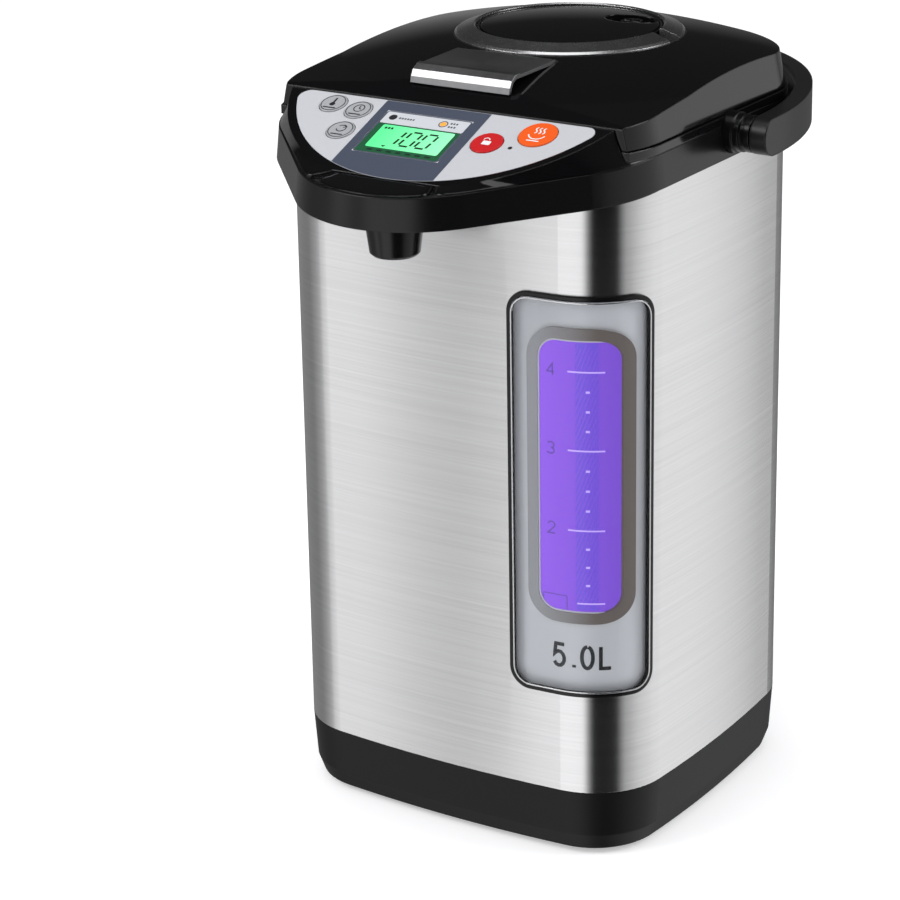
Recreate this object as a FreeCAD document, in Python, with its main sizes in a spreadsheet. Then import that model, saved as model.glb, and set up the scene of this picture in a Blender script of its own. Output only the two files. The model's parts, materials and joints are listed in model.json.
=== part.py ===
import FreeCAD, Part
import math
import os
import Sketcher
from FreeCAD import Placement, Rotation, Vector

doc = FreeCAD.newDocument("thermo_pot")
sheet = doc.addObject("Spreadsheet::Sheet", "Sizes")

# Driving sizes in millimetres and degrees. The front is -Y, the right is +X, the table is z = 0.
SIZES = {
    # Body plan: a rounded square with slightly bowed sides
    "body_half_width": 95.0,
    "body_half_depth": 89.0,
    "side_bow_radius": 650.0,
    "body_corner_radius": 36.0,
    # Base
    "foot_height": 1.2,
    "foot_radius": 8.0,
    "foot_recess": 1.0,
    "cover_drop": 1.3,
    "base_height": 30.0,
    "base_foot_inset": 4.4,
    "base_opening_inset": 26.0,
    "screw_post_radius": 3.6,
    "screw_post_height": 8.0,
    "base_knee_inset": 1.5,
    "base_knee_height": 8.0,
    "base_wall": 2.6,
    "base_floor": 3.0,
    "base_spigot_height": 7.0,
    "cover_thickness": 3.8,
    "cover_slot_length": 34.0,
    "cover_slot_width": 3.0,
    "cover_slot_pitch": 9.0,
    "cover_slot_count": 6,
    "foot_inset_x": 33.0,
    "foot_inset_y": 33.0,
    "screw_inset": 25.0,
    "screw_spread_y": 30.0,
    "screw_head_radius": 3.4,
    "screw_shank_radius": 1.5,
    # Steel skin and its window
    "steel_height": 278.0,
    "steel_wall": 0.8,
    "seat_clearance": 0.25,
    "window_left": 36.0,
    "window_back": -60.0,
    "window_bottom": 80.0,
    "window_height": 186.0,
    "window_corner_radius": 10.0,
    "gasket_width": 2.2,
    "gasket_proud": 1.1,
    "cover_proud": 1.9,
    "cover_wall": 2.6,
    "gauge_left": 49.5,
    "gauge_back": -72.0,
    "gauge_bottom": 119.5,
    "gauge_height": 126.5,
    "gauge_corner_radius": 9.0,
    "gauge_rim": 5.0,
    "gauge_rim_wall": 1.8,
    "gauge_lens_wall": 1.6,
    "gauge_tray_wall": 2.0,
    "gauge_tray_depth": 17.0,
    "tube_angle": 33.0,
    "tube_radius": 5.0,
    "tube_wall": 1.0,
    "tube_setback": 11.6,
    "fitting_radius": 7.6,
    "fitting_length": 9.0,
    # Inner pot
    "pot_centre_y": 4.5,
    "pot_radius": 76.0,
    "pot_wall": 0.8,
    "pot_floor_z": 50.0,
    "pot_rim_z": 318.0,
    "pot_floor_corner": 12.0,
    "pot_flange_radius": 79.0,
    "pot_seal_height": 1.6,
    "outlet_x": 40.0,
    "outlet_y": -30.0,
    "outlet_radius": 5.0,
    # Heater and pump
    "heater_radius": 42.0,
    "heater_plate": 3.0,
    "heater_tube_radius": 3.4,
    "heater_ring_radius": 27.0,
    "heater_centre_x": -12.0,
    "heater_centre_y": 16.0,
    "cutout_radius": 8.0,
    "cutout_height": 5.0,
    "pump_radius": 19.0,
    "pump_top": 35.0,
    "pump_wall": 2.2,
    "motor_radius": 13.0,
    "motor_height": 17.0,
    "shaft_radius": 1.5,
    "shaft_clearance": 0.05,
    "impeller_radius": 13.0,
    "impeller_height": 4.6,
    "impeller_vanes": 6,
    "hose_radius": 4.2,
    "hose_bore": 2.6,
    "hose_bend": 10.0,
    # Collar and beak
    "collar_overhang": 1.0,
    "band_height": 15.0,
    "band_wall": 4.5,
    "band_lean": 2.3,
    "band_floor": 2.4,
    "beak_reach": 61.0,
    "beak_tip_radius": 60.0,
    "beak_flank_angle": 46.0,
    "beak_shoulder_radius": 53.0,
    "beak_slope_start": -60.0,
    "beak_bottom_drop": 8.0,
    "beak_seam_drop": 9.0,
    "bezel_strip": 4.0,
    "mouth_radius": 77.5,
    "mouth_wall": 2.6,
    "spigot_wall": 2.0,
    "spigot_length": 7.0,
    # Spout
    "spout_y": -120.0,
    "spout_top_radius": 14.0,
    "spout_tip_radius": 11.0,
    "spout_length": 21.0,
    "spout_bore": 3.4,
    "spout_collar": 10.0,
    # Control panel
    "panel_chord_y": -76.6,
    "panel_chord_z": 338.5,
    "panel_tilt": 21.3,
    "panel_half_chord": 78.0,
    "panel_depth": 54.0,
    "panel_rim": 4.0,
    "overlay_thickness": 0.8,
    "deck_thickness": 2.2,
    "display_x": -4.5,
    "display_s": -23.0,
    "display_width": 44.0,
    "display_height": 31.0,
    "display_module_height": 4.2,
    "key_proud": 0.5,
    "key_travel": 0.5,
    "key_clearance": 0.3,
    "key_cap_seat": 1.2,
    "key_stem_inset": 3.4,
    "small_key_radius": 6.4,
    "red_key_radius": 7.2,
    "orange_key_radius": 8.6,
    "board_thickness": 1.6,
    "board_gap": 1.0,
    "deck_inset": 2.0,
    "deck_chord_drop": 4.0,
    "deck_hollow": 9.5,
    "panel_corner_radius": 5.0,
    # Lid
    "lid_gap": 0.4,
    "lid_inset": 3.4,
    "lid_lean": 6.0,
    "lid_apex": 356.0,
    "lid_crown_radius": 439.0,
    "lid_crown_y": 26.0,
    "lid_crown_reach": 104.0,
    "lid_shoulder_slope": 0.13,
    "lid_skirt": 3.0,
    "lid_roof_z": 335.5,
    "lid_chamber_radius": 48.0,
    "lid_chamber_height": 10.0,
    "lid_facet_angle": 30.0,
    "plug_radius": 73.5,
    "plug_bottom": 316.0,
    "plug_wall": 2.0,
    "lid_gasket_radius": 76.4,
    "lid_gasket_height": 3.0,
    "lid_gasket_lift": 0.4,
    "ring_radius": 52.6,
    "ring_inner_radius": 43.0,
    "ring_seat_drop": 4.6,
    "ring_edge": 1.6,
    "ring_rise": 3.6,
    "ring_gap_start": -1.0,
    "ring_gap_angle": 11.0,
    "disc_radius": 40.6,
    "disc_edge": 4.4,
    "disc_crown": 2.6,
    "disc_groove": 1.0,
    "steam_x": 22.0,
    "steam_y": 18.0,
    "steam_length": 24.0,
    "steam_width": 17.0,
    "steam_bore": 4.0,
    # Latch
    "latch_half_width": 25.4,
    "latch_front_y": -67.0,
    "latch_back_y": -29.2,
    "latch_top_z": 352.9,
    "latch_plate": 1.8,
    "latch_lip": 7.8,
    "latch_pin_radius": 1.5,
    "latch_pin_y": -31.2,
    "latch_pin_z": 349.0,
    "latch_lug_half": 9.0,
    "latch_recess_z": 349.6,
    "latch_pin_clearance": 0.06,
    # Hinge and handle
    "hinge_y": 93.0,
    "hinge_z": 331.0,
    "hinge_pin_radius": 2.0,
    "hinge_clearance": 0.06,
    "hinge_knuckle_radius": 5.0,
    "hinge_knuckle_half": 22.0,
    "hinge_ear": 8.0,
    "handle_y": 6.0,
    "handle_z": 321.5,
    "handle_stand_off": 20.0,
    "handle_reach": 136.0,
    "handle_height": 17.0,
    "handle_web": 3.2,
    "handle_flange": 8.0,
    "handle_flange_wall": 3.0,
    "mount_base_radius": 9.2,
    "mount_neck_radius": 7.4,
    "mount_seat_inset": 2.4,
    "handle_pin_radius": 4.0,
    "handle_pin_clearance": 0.08,
    # Mains inlet
    "inlet_half_width": 17.0,
    "inlet_height": 18.0,
    "inlet_depth": 11.0,
    "inlet_floor_z": 9.0,
}

for row, (alias, number) in enumerate(SIZES.items(), start=1):
    sheet.set("A%d" % row, alias)
    sheet.set("B%d" % row, "%g" % number)
    sheet.setAlias("B%d" % row, alias)
doc.recompute()


class Values:
    """The sheet's numbers under their own names."""


v = Values()
for alias in SIZES:
    setattr(v, alias, float(sheet.get(alias)))

# Heights that several pieces share
z_base = v.foot_height + v.cover_drop
z_steel = z_base + v.base_height
z_band = z_steel + v.steel_height
z_seam = z_band + v.band_height
z_strip = z_seam + v.bezel_strip
z_lid = z_strip + v.lid_gap
handle_half_width = v.body_half_width + v.handle_stand_off
mount_seat_x = v.body_half_width - v.mount_seat_inset
screw_spread_x = v.body_half_width - v.screw_inset
foot_spread_x = v.body_half_width - v.foot_inset_x
foot_spread_y = v.body_half_depth - v.foot_inset_y
ring_seat_z = v.lid_apex - v.ring_seat_drop
z_low = z_band - v.beak_bottom_drop
beak_tip_y = -v.body_half_depth - v.beak_reach
middle_y = (beak_tip_y + v.handle_y + v.handle_reach) / 2
window_top = v.window_bottom + v.window_height
PANEL = Placement(Vector(0, v.panel_chord_y, v.panel_chord_z), Rotation(Vector(1, 0, 0), v.panel_tilt))
LEVEL = Rotation()
UP = Vector(0, 0, 1)
nodes = []


def keep(feature, label):
    """Adds a finished sub-part to the list that is written out."""
    feature.Label = label
    nodes.append(feature)
    return feature


def body(name):
    return doc.addObject("PartDesign::Body", name)


def sketch(owner, base=(0, 0, 0), rotation=LEVEL, plane="XY_Plane"):
    """A sketch on one of the body's own planes, moved by base and rotation in that plane's frame."""
    made = owner.newObject("Sketcher::SketchObject", owner.Name + "Sketch")
    origin = [f for f in owner.Origin.OriginFeatures if f.Role == plane][0]
    made.AttachmentSupport = (origin, [""])
    made.MapMode = "FlatFace"
    made.AttachmentOffset = Placement(Vector(*base), rotation)
    return made


def arc(x, y, radius, start, end):
    """An anticlockwise arc from start to end in degrees."""
    circle = Part.Circle(Vector(x, y, 0), UP, radius)
    return Part.ArcOfCircle(circle, math.radians(start), math.radians(end))


def line(a, b):
    return Part.LineSegment(Vector(a[0], a[1], 0), Vector(b[0], b[1], 0))


def draw(made, edges):
    """Puts a closed run of edges in a sketch and ties each to the next where their ends meet."""
    first = made.GeometryCount
    for edge in edges:
        made.addGeometry(edge, False)
    count = len(edges)
    for i in range(count):
        after = (i + 1) % count
        ends = (edges[i].StartPoint, edges[i].EndPoint)
        starts = (edges[after].StartPoint, edges[after].EndPoint)
        pairs = [(p.distanceToPoint(q), a, b) for a, p in enumerate(ends, 1) for b, q in enumerate(starts, 1)]
        gap, a, b = min(pairs)
        if gap > 0.001:
            raise RuntimeError("an outline of %s is open by %.3f mm" % (made.Name, gap))
        made.addConstraint(Sketcher.Constraint("Coincident", first + i, a, first + after, b))
    return made


def draw_circle(made, x, y, radius, bound=None):
    """A circle whose radius follows a cell of the sheet where bound names one."""
    index = made.addGeometry(Part.Circle(Vector(x, y, 0), UP, radius), False)
    made.addConstraint(Sketcher.Constraint("DistanceX", -1, 1, index, 3, x))
    made.addConstraint(Sketcher.Constraint("DistanceY", -1, 1, index, 3, y))
    spot = made.addConstraint(Sketcher.Constraint("Radius", index, radius))
    if bound:
        made.setExpression("Constraints[%d]" % spot, bound)
    return made


def polygon(points):
    return [line(a, b) for a, b in zip(points, points[1:] + points[:1])]


def rounded(x0, y0, x1, y1, radius):
    """A rectangle with rounded corners, anticlockwise."""
    r = radius
    return [
        line((x0 + r, y0), (x1 - r, y0)), arc(x1 - r, y0 + r, r, -90, 0),
        line((x1, y0 + r), (x1, y1 - r)), arc(x1 - r, y1 - r, r, 0, 90),
        line((x1 - r, y1), (x0 + r, y1)), arc(x0 + r, y1 - r, r, 90, 180),
        line((x0, y1 - r), (x0, y0 + r)), arc(x0 + r, y0 + r, r, 180, 270),
    ]


def bow_corner(a, b):
    """Centre of the corner arc and the two angles where it meets the bowed sides."""
    big = v.side_bow_radius
    gap = big - v.body_corner_radius
    p, q = Vector(a - big, 0, 0), Vector(0, b - big, 0)
    middle = (p + q) * 0.5
    half = (q - p).Length / 2
    reach = math.sqrt(gap * gap - half * half)
    across = Vector((p - q).y, -(p - q).x, 0).normalize()
    if across.x + across.y < 0:
        across = across * -1
    centre = middle + across * reach
    low = math.degrees(math.atan2(centre.y, centre.x - p.x))
    high = math.degrees(math.atan2(centre.y - q.y, centre.x))
    return centre, low, high


def body_outline(inset=0.0):
    """The rounded square of the body, bowed on all four sides, pulled in by inset."""
    a, b = v.body_half_width, v.body_half_depth
    big, small = v.side_bow_radius - inset, v.body_corner_radius - inset
    c, low, high = bow_corner(a, b)
    return [
        arc(a - v.side_bow_radius, 0, big, -low, low), arc(c.x, c.y, small, low, high),
        arc(0, b - v.side_bow_radius, big, high, 180 - high),
        arc(-c.x, c.y, small, 180 - high, 180 - low),
        arc(v.side_bow_radius - a, 0, big, 180 - low, 180 + low),
        arc(-c.x, -c.y, small, 180 + low, 180 + high),
        arc(0, v.side_bow_radius - b, big, 180 + high, 360 - high),
        arc(c.x, -c.y, small, -high, -low),
    ]


def collar_rear(a, b, inset):
    """The rear half of the collar's plan, from (a, 0) round the back to (-a, 0)."""
    big, small = v.side_bow_radius - inset, v.body_corner_radius + v.collar_overhang - inset
    x, y = a - v.body_corner_radius - v.collar_overhang, b - v.body_corner_radius - v.collar_overhang
    return [
        line((a - inset, 0), (a - inset, y)), arc(x, y, small, 0, 90),
        line((x, b - inset), (-x, b - inset)), arc(-x, y, small, 90, 180),
        line((inset - a, y), (inset - a, 0)),
    ]


def collar_sizes():
    """Half width, half depth, and the centre height of the shoulder arcs."""
    a = v.body_half_width + v.collar_overhang
    b = v.body_half_depth + v.collar_overhang
    angle = math.radians(v.beak_flank_angle)
    tip, shoulder = v.beak_tip_radius, v.beak_shoulder_radius
    rise = ((a - shoulder) * math.sin(angle) - (tip - shoulder)) / math.cos(angle)
    return a, b, beak_tip_y + tip + rise


def collar_outline(inset=0.0):
    """The collar's plan: the body's rear half and a beak of tangent arcs and flanks in front."""
    a, b, sy = collar_sizes()
    shoulder, tip = v.beak_shoulder_radius, v.beak_tip_radius
    angle = v.beak_flank_angle
    nx, ny = math.sin(math.radians(angle)), -math.cos(math.radians(angle))
    sx, ty = a - shoulder, beak_tip_y + tip
    rs, rt = shoulder - inset, tip - inset
    outer, inner = (sx + rs * nx, sy + rs * ny), (rt * nx, ty + rt * ny)
    return collar_rear(a, b, inset) + [
        line((inset - a, 0), (inset - a, sy)), arc(-sx, sy, rs, 180, 270 - angle),
        line((-outer[0], outer[1]), (-inner[0], inner[1])),
        arc(0, ty, rt, 270 - angle, 270 + angle),
        line(inner, outer), arc(sx, sy, rs, angle - 90, 0),
        line((a - inset, sy), (a - inset, 0)),
    ]


def lid_outline(inset, front_y):
    """The collar's plan behind a straight front edge at front_y."""
    a, b, sy = collar_sizes()
    sx, rs = a - v.beak_shoulder_radius, v.beak_shoulder_radius - inset
    drop = math.degrees(math.asin((front_y - sy) / rs))
    x = sx + rs * math.cos(math.radians(drop))
    return collar_rear(a, b, inset) + [
        line((inset - a, 0), (inset - a, sy)), arc(-sx, sy, rs, 180, 180 - drop),
        line((-x, front_y), (x, front_y)), arc(sx, sy, rs, drop, 0),
        line((a - inset, sy), (a - inset, 0)),
    ]


def pad(owner, made, length, bound=None, reverse=False):
    feature = owner.newObject("PartDesign::Pad", owner.Name + "Pad")
    feature.Profile = made
    feature.Length = length
    feature.Reversed = reverse
    if bound:
        feature.setExpression("Length", bound)
    doc.recompute()
    return feature


def pocket(owner, made, length, bound=None, reverse=False, through=False, both=False):
    """Cuts a sketch's shape away and stops if that took nothing off."""
    before = owner.Shape.Volume
    feature = owner.newObject("PartDesign::Pocket", owner.Name + "Pocket")
    feature.Profile = made
    feature.Length = length
    feature.Reversed = reverse
    if bound:
        feature.setExpression("Length", bound)
    if through:
        feature.Type = "ThroughAll"
    feature.Midplane = both
    doc.recompute()
    if not owner.Shape.Volume < before - 0.01:
        raise RuntimeError("a pocket of %s cuts nothing" % owner.Name)
    return feature


def turn(owner, made, kind="Revolution"):
    """Turns a sketch once round its own upright axis."""
    before = owner.Shape.Volume if kind == "Groove" else 0
    feature = owner.newObject("PartDesign::" + kind, owner.Name + kind)
    feature.Profile = made
    feature.ReferenceAxis = (made, ["V_Axis"])
    feature.Angle = 360
    doc.recompute()
    if kind == "Groove" and not owner.Shape.Volume < before - 0.01:
        raise RuntimeError("a groove of %s cuts nothing" % owner.Name)
    return feature


def loft(owner, sketches):
    feature = owner.newObject("PartDesign::AdditiveLoft", owner.Name + "Loft")
    feature.Profile = sketches[0]
    feature.Sections = sketches[1:]
    feature.Ruled = True
    doc.recompute()
    return feature


def upright(owner, x=0.0, y=0.0):
    """A sketch on a plane facing the front, whose own upright axis passes through (x, y)."""
    return sketch(owner, (x, 0, -y), plane="XZ_Plane")


def side_on(owner, x=0.0):
    """A sketch on a plane facing the right, with Y across and Z up."""
    return sketch(owner, (0, 0, x), plane="YZ_Plane")


def fillet(owner, feature, size, wanted):
    """Rounds the edges of a feature that wanted picks out by their middle point."""
    names = []
    for i, edge in enumerate(feature.Shape.Edges, start=1):
        middle = edge.valueAt((edge.FirstParameter + edge.LastParameter) / 2)
        if wanted(edge, middle):
            names.append("Edge%d" % i)
    made = owner.newObject("PartDesign::Fillet", owner.Name + "Fillet")
    made.Base = (feature, names)
    made.Radius = size
    doc.recompute()
    return made


def cylinder(name, x, y, z, radius, height, direction=UP):
    made = doc.addObject("Part::Cylinder", name)
    made.Radius = radius
    made.Height = height
    made.Placement = Placement(Vector(x, y, z), Rotation(UP, direction))
    return made


def cut(name, base, tools):
    """base less each tool in turn."""
    for i, tool in enumerate(tools):
        made = doc.addObject("Part::Cut", "%sCut%d" % (name, i))
        made.Base, made.Tool = base, tool
        base = made
    return base


def common(name, shapes):
    made = doc.addObject("Part::MultiCommon", name + "Common")
    made.Shapes = shapes
    return made


def ring_pad(name, inset_out, inset_in, z, height):
    """A body-shaped ring between two insets of the body's plan."""
    owner = body(name)
    made = sketch(owner, (0, 0, z))
    draw(made, body_outline(inset_out))
    draw(made, body_outline(inset_in))
    pad(owner, made, height)
    return owner


def make_base_shell():
    owner = body("BaseShell")
    levels = ((0, v.base_foot_inset), (v.base_knee_height, v.base_knee_inset), (v.base_height, 0))
    rings = [draw(sketch(owner, (0, 0, z_base + rise)), body_outline(inset)) for rise, inset in levels]
    shape = loft(owner, rings)
    fillet(owner, shape, 1.2, lambda e, m: abs(m.z - z_base) < 0.01)
    inner = v.base_foot_inset + v.base_wall
    spigot_out = v.steel_wall + v.seat_clearance
    top = draw(sketch(owner, (0, 0, z_steel)), body_outline(spigot_out))
    pad(owner, top, v.base_spigot_height, "Sizes.base_spigot_height")
    hollow = draw(sketch(owner, (0, 0, z_steel + v.base_spigot_height)), body_outline(inner))
    floor_top = z_base + v.cover_thickness - v.cover_drop + v.base_floor
    pocket(owner, hollow, z_steel + v.base_spigot_height - floor_top)
    recess = draw(sketch(owner, (0, 0, z_base)), body_outline(v.base_foot_inset + 2.0))
    pocket(owner, recess, v.cover_thickness - v.cover_drop, reverse=True)
    opening = draw(sketch(owner, (0, 0, floor_top)), body_outline(v.base_opening_inset))
    pocket(owner, opening, v.base_floor, "Sizes.base_floor")
    posts = sketch(owner, (0, 0, floor_top))
    for x in (-1, 1):
        for y in (-1, 1):
            draw_circle(posts, x * screw_spread_x, y * v.screw_spread_y, v.screw_post_radius)
    pad(owner, posts, v.screw_post_height)
    bores = sketch(owner, (0, 0, floor_top + v.screw_post_height))
    for x in (-1, 1):
        for y in (-1, 1):
            draw_circle(bores, x * screw_spread_x, y * v.screw_spread_y, v.screw_shank_radius)
    pocket(owner, bores, v.base_floor + v.screw_post_height)
    gate = sketch(owner, (0, 0, -v.body_half_depth - 5), plane="XZ_Plane")
    w, low = v.inlet_half_width, v.inlet_floor_z
    draw(gate, rounded(-w, low, w, low + v.inlet_height, 3.0))
    pocket(owner, gate, 20.0, reverse=True)
    return keep(owner, "base_shell")


def make_bottom_cover():
    owner = body("BottomCover")
    plate = draw(sketch(owner, (0, 0, v.foot_height)), body_outline(v.base_foot_inset + 2.0 + v.seat_clearance))
    shape = pad(owner, plate, v.cover_thickness, "Sizes.cover_thickness")
    fillet(owner, shape, 0.8, lambda e, m: abs(m.z - v.foot_height) < 0.01)
    seats = sketch(owner, (0, 0, v.foot_height))
    for x in (-1, 1):
        for y in (-1, 1):
            draw_circle(seats, x * foot_spread_x, y * foot_spread_y, v.foot_radius, "Sizes.foot_radius")
    pocket(owner, seats, v.foot_recess, "Sizes.foot_recess", reverse=True)
    heads = sketch(owner, (0, 0, v.foot_height))
    shanks = sketch(owner, (0, 0, v.foot_height))
    for x in (-1, 1):
        for y in (-1, 1):
            draw_circle(heads, x * screw_spread_x, y * v.screw_spread_y, v.screw_head_radius + 0.3)
            draw_circle(shanks, x * screw_spread_x, y * v.screw_spread_y, v.screw_shank_radius + 0.2)
    pocket(owner, heads, 2.0, reverse=True)
    pocket(owner, shanks, v.cover_thickness, reverse=True)
    slots = sketch(owner, (0, 0, v.foot_height))
    span = v.cover_slot_pitch * (v.cover_slot_count - 1)
    for i in range(int(v.cover_slot_count)):
        y = i * v.cover_slot_pitch - span / 2
        half, w = v.cover_slot_length / 2, v.cover_slot_width / 2
        draw(slots, rounded(-half, y - w, half, y + w, w * 0.9))
    pocket(owner, slots, v.cover_thickness, reverse=True, through=True)
    return keep(owner, "bottom_cover")


def group(label, parts):
    made = doc.addObject("Part::Compound", label.title().replace("_", ""))
    made.Links = parts
    return keep(made, label)


def make_feet():
    feet = []
    for x in (-1, 1):
        for y in (-1, 1):
            foot = cylinder("Foot", x * foot_spread_x, y * foot_spread_y, 0, v.foot_radius, v.foot_height)
            foot.setExpression("Radius", "Sizes.foot_radius - 0.1")
            foot.setExpression("Height", "Sizes.foot_height + Sizes.foot_recess")
            feet.append(foot)
    return group("rubber_feet", feet)


def make_screws():
    screws = []
    head_z = v.foot_height + 0.5
    for x in (-1, 1):
        for y in (-1, 1):
            place = (x * screw_spread_x, y * v.screw_spread_y)
            head = cylinder("ScrewHead", *place, head_z, v.screw_head_radius, 1.5)
            shank = cylinder("ScrewShank", *place, head_z + 1.5, v.screw_shank_radius, 11.0)
            screw = doc.addObject("Part::Fuse", "Screw")
            screw.Base, screw.Tool = head, shank
            screws.append(screw)
    return group("bottom_screws", screws)


def window_block(name, left, back, bottom, top, radius):
    """The block of space behind a window that wraps the front right corner of the body."""
    front = body(name + "Front")
    edge = sketch(front, (0, 0, -back), plane="XZ_Plane")
    wide = v.body_half_width + 30
    draw(edge, rounded(left, bottom, wide, top, radius))
    pad(front, edge, v.body_half_depth + 30 + back)
    side = body(name + "Side")
    edge = side_on(side, left - 2)
    draw(edge, rounded(-v.body_half_depth - 30, bottom, back, top, radius))
    pad(side, edge, wide - left + 2)
    return common(name, [front, side])


def window_opening(name, grow):
    return window_block(
        name, v.window_left - grow, v.window_back + grow,
        v.window_bottom - grow, window_top + grow, v.window_corner_radius + grow,
    )


def gauge_opening(name, grow):
    return window_block(
        name, v.gauge_left - grow, v.gauge_back + grow,
        v.gauge_bottom - grow, v.gauge_bottom + v.gauge_height + grow, v.gauge_corner_radius + grow,
    )


def make_window_pieces():
    tall = (v.window_bottom - 20, v.window_height + 40)
    skin = ring_pad("SkinTube", 0, v.steel_wall, z_steel, v.steel_height)
    keep(cut("SteelSkin", skin, [window_opening("SkinWindow", 0)]), "steel_skin")
    rim = ring_pad("GasketRing", -v.gasket_proud, v.steel_wall, *tall)
    outer = common("Gasket", [rim, window_opening("GasketOuter", 0)])
    keep(cut("WindowGasket", outer, [window_opening("GasketInner", -v.gasket_width)]), "window_gasket")
    sheet_ring = ring_pad("CoverRing", -v.cover_proud, v.cover_wall - v.cover_proud, *tall)
    keep(common("WindowCover", [sheet_ring, window_opening("CoverEdge", -v.gasket_width)]), "window_cover")
    behind = max(v.cover_wall - v.cover_proud, v.steel_wall)
    lens_front = behind + 1.0
    rim_ring = ring_pad("GaugeRimRing", behind, behind + v.gauge_rim_wall, *tall)
    frame_outer = common("GaugeRimOuter", [rim_ring, gauge_opening("RimOuter", v.gauge_rim)])
    keep(cut("GaugeFrame", frame_outer, [gauge_opening("RimInner", 0)]), "gauge_frame")
    lens_ring = ring_pad("LensRing", lens_front, lens_front + v.gauge_lens_wall, *tall)
    keep(common("GaugeLens", [lens_ring, gauge_opening("LensEdge", 0)]), "gauge_lens")
    face = behind + v.gauge_rim_wall
    wall, deep = v.gauge_tray_wall, face + v.gauge_tray_depth
    plate = common("TrayPlate", [ring_pad("PlateRing", face, face + wall, *tall), window_opening("PlateEdge", 4.0)])
    box = common("TrayBox", [ring_pad("BoxRing", face, deep, *tall), gauge_opening("BoxEdge", wall)])
    tray = doc.addObject("Part::Fuse", "Tray")
    tray.Base, tray.Tool = plate, box
    pit = common("Pit", [ring_pad("PitRing", face - 1, deep - wall, *tall), gauge_opening("PitEdge", 0)])
    x, y = tube_place()
    low = cylinder("TrayLowBore", x, y, v.window_bottom - 30, v.tube_radius + 0.2, v.window_height + 60)
    keep(cut("GaugeTray", tray, [pit, low]), "gauge_tray")


def tube_place():
    """Where the level tube stands, behind the body's corner arc."""
    centre = bow_corner(v.body_half_width, v.body_half_depth)[0]
    reach = v.body_corner_radius - v.tube_setback
    angle = math.radians(v.tube_angle)
    return centre.x + reach * math.sin(angle), -centre.y - reach * math.cos(angle)


def tube_solid(name, x, y, z, outer, inner, height):
    outside = cylinder(name + "Outside", x, y, z, outer, height)
    inside = cylinder(name + "Inside", x, y, z - 1, inner, height + 2)
    return cut(name, outside, [inside])


def make_level_tube():
    x, y = tube_place()
    low, high = v.window_bottom - 12, window_top + 12
    tube = tube_solid("LevelTube", x, y, low, v.tube_radius, v.tube_radius - v.tube_wall, high - low)
    keep(tube, "level_tube")
    fittings = []
    grip = 3.0
    for z, seat_z in ((low - v.fitting_length + grip, low), (high - grip, high - grip)):
        outside = cylinder("FittingOutside", x, y, z, v.fitting_radius, v.fitting_length)
        bore = cylinder("FittingBore", x, y, z - 1, v.hose_radius, v.fitting_length + 2)
        seat = cylinder("FittingSeat", x, y, seat_z, v.tube_radius, grip)
        fittings.append(cut("Fitting%d" % len(fittings), outside, [bore, seat]))
    group("tube_fittings", fittings)


def make_pot():
    owner = body("InnerPot")
    made = upright(owner, 0, v.pot_centre_y)
    r, w, c, low, rim = v.pot_radius, v.pot_wall, v.pot_floor_corner, v.pot_floor_z, v.pot_rim_z
    flange = v.pot_flange_radius
    draw(made, [
        line((0, low), (r - c, low)), arc(r - c, low + c, c, -90, 0),
        line((r, low + c), (r, rim - w)), line((r, rim - w), (flange, rim - w)),
        line((flange, rim - w), (flange, rim)), line((flange, rim), (r - w, rim)),
        line((r - w, rim), (r - w, low + c)), arc(r - c, low + c, c - w, -90, 0),
        line((r - c, low + w), (0, low + w)), line((0, low + w), (0, low)),
    ])
    turn(owner, made)
    spigot = draw_circle(sketch(owner, (0, 0, low)), v.outlet_x, v.outlet_y, v.outlet_radius)
    pad(owner, spigot, 5.0, reverse=True)
    drain = draw_circle(sketch(owner, (0, 0, low + w)), v.outlet_x, v.outlet_y, v.outlet_radius - 1.2)
    pocket(owner, drain, 5.0 + w)
    keep(owner, "inner_pot")
    seal = tube_solid(
        "PotSeal", 0, v.pot_centre_y, v.pot_rim_z, v.pot_flange_radius, v.pot_radius + 0.8, v.pot_seal_height)
    keep(seal, "pot_seal")


def make_heater():
    x, y, top = v.heater_centre_x, v.heater_centre_y, v.pot_floor_z
    plate = cylinder("HeaterDisc", x, y, top - v.heater_plate, v.heater_radius, v.heater_plate)
    plate.setExpression("Radius", "Sizes.heater_radius")
    coil = doc.addObject("Part::Torus", "HeaterCoil")
    coil.Radius1, coil.Radius2, coil.Angle3 = v.heater_ring_radius, v.heater_tube_radius, 320
    coil_z = top - v.heater_plate - v.heater_tube_radius + 1.0
    coil.Placement = Placement(Vector(x, y, coil_z), Rotation(UP, 20))
    made = doc.addObject("Part::MultiFuse", "HeaterPlate")
    pins = []
    for angle in (20, -20):
        turned = math.radians(angle)
        px = x + v.heater_ring_radius * math.cos(turned)
        py = y + v.heater_ring_radius * math.sin(turned)
        pins.append(cylinder("HeaterPin", px, py, coil_z - 9.0, 1.6, 9.0))
    made.Shapes = [plate, coil] + pins
    keep(made, "heater_plate")
    cutouts = []
    for side in (-1, 1):
        low = top - v.heater_plate - v.cutout_height
        cutouts.append(cylinder("Cutout", x + side * 10.0, y, low, v.cutout_radius, v.cutout_height))
    group("thermal_cutouts", cutouts)


def outlet_direction():
    x, y = tube_place()
    return Vector(x - v.outlet_x, y - v.outlet_y, 0)


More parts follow.
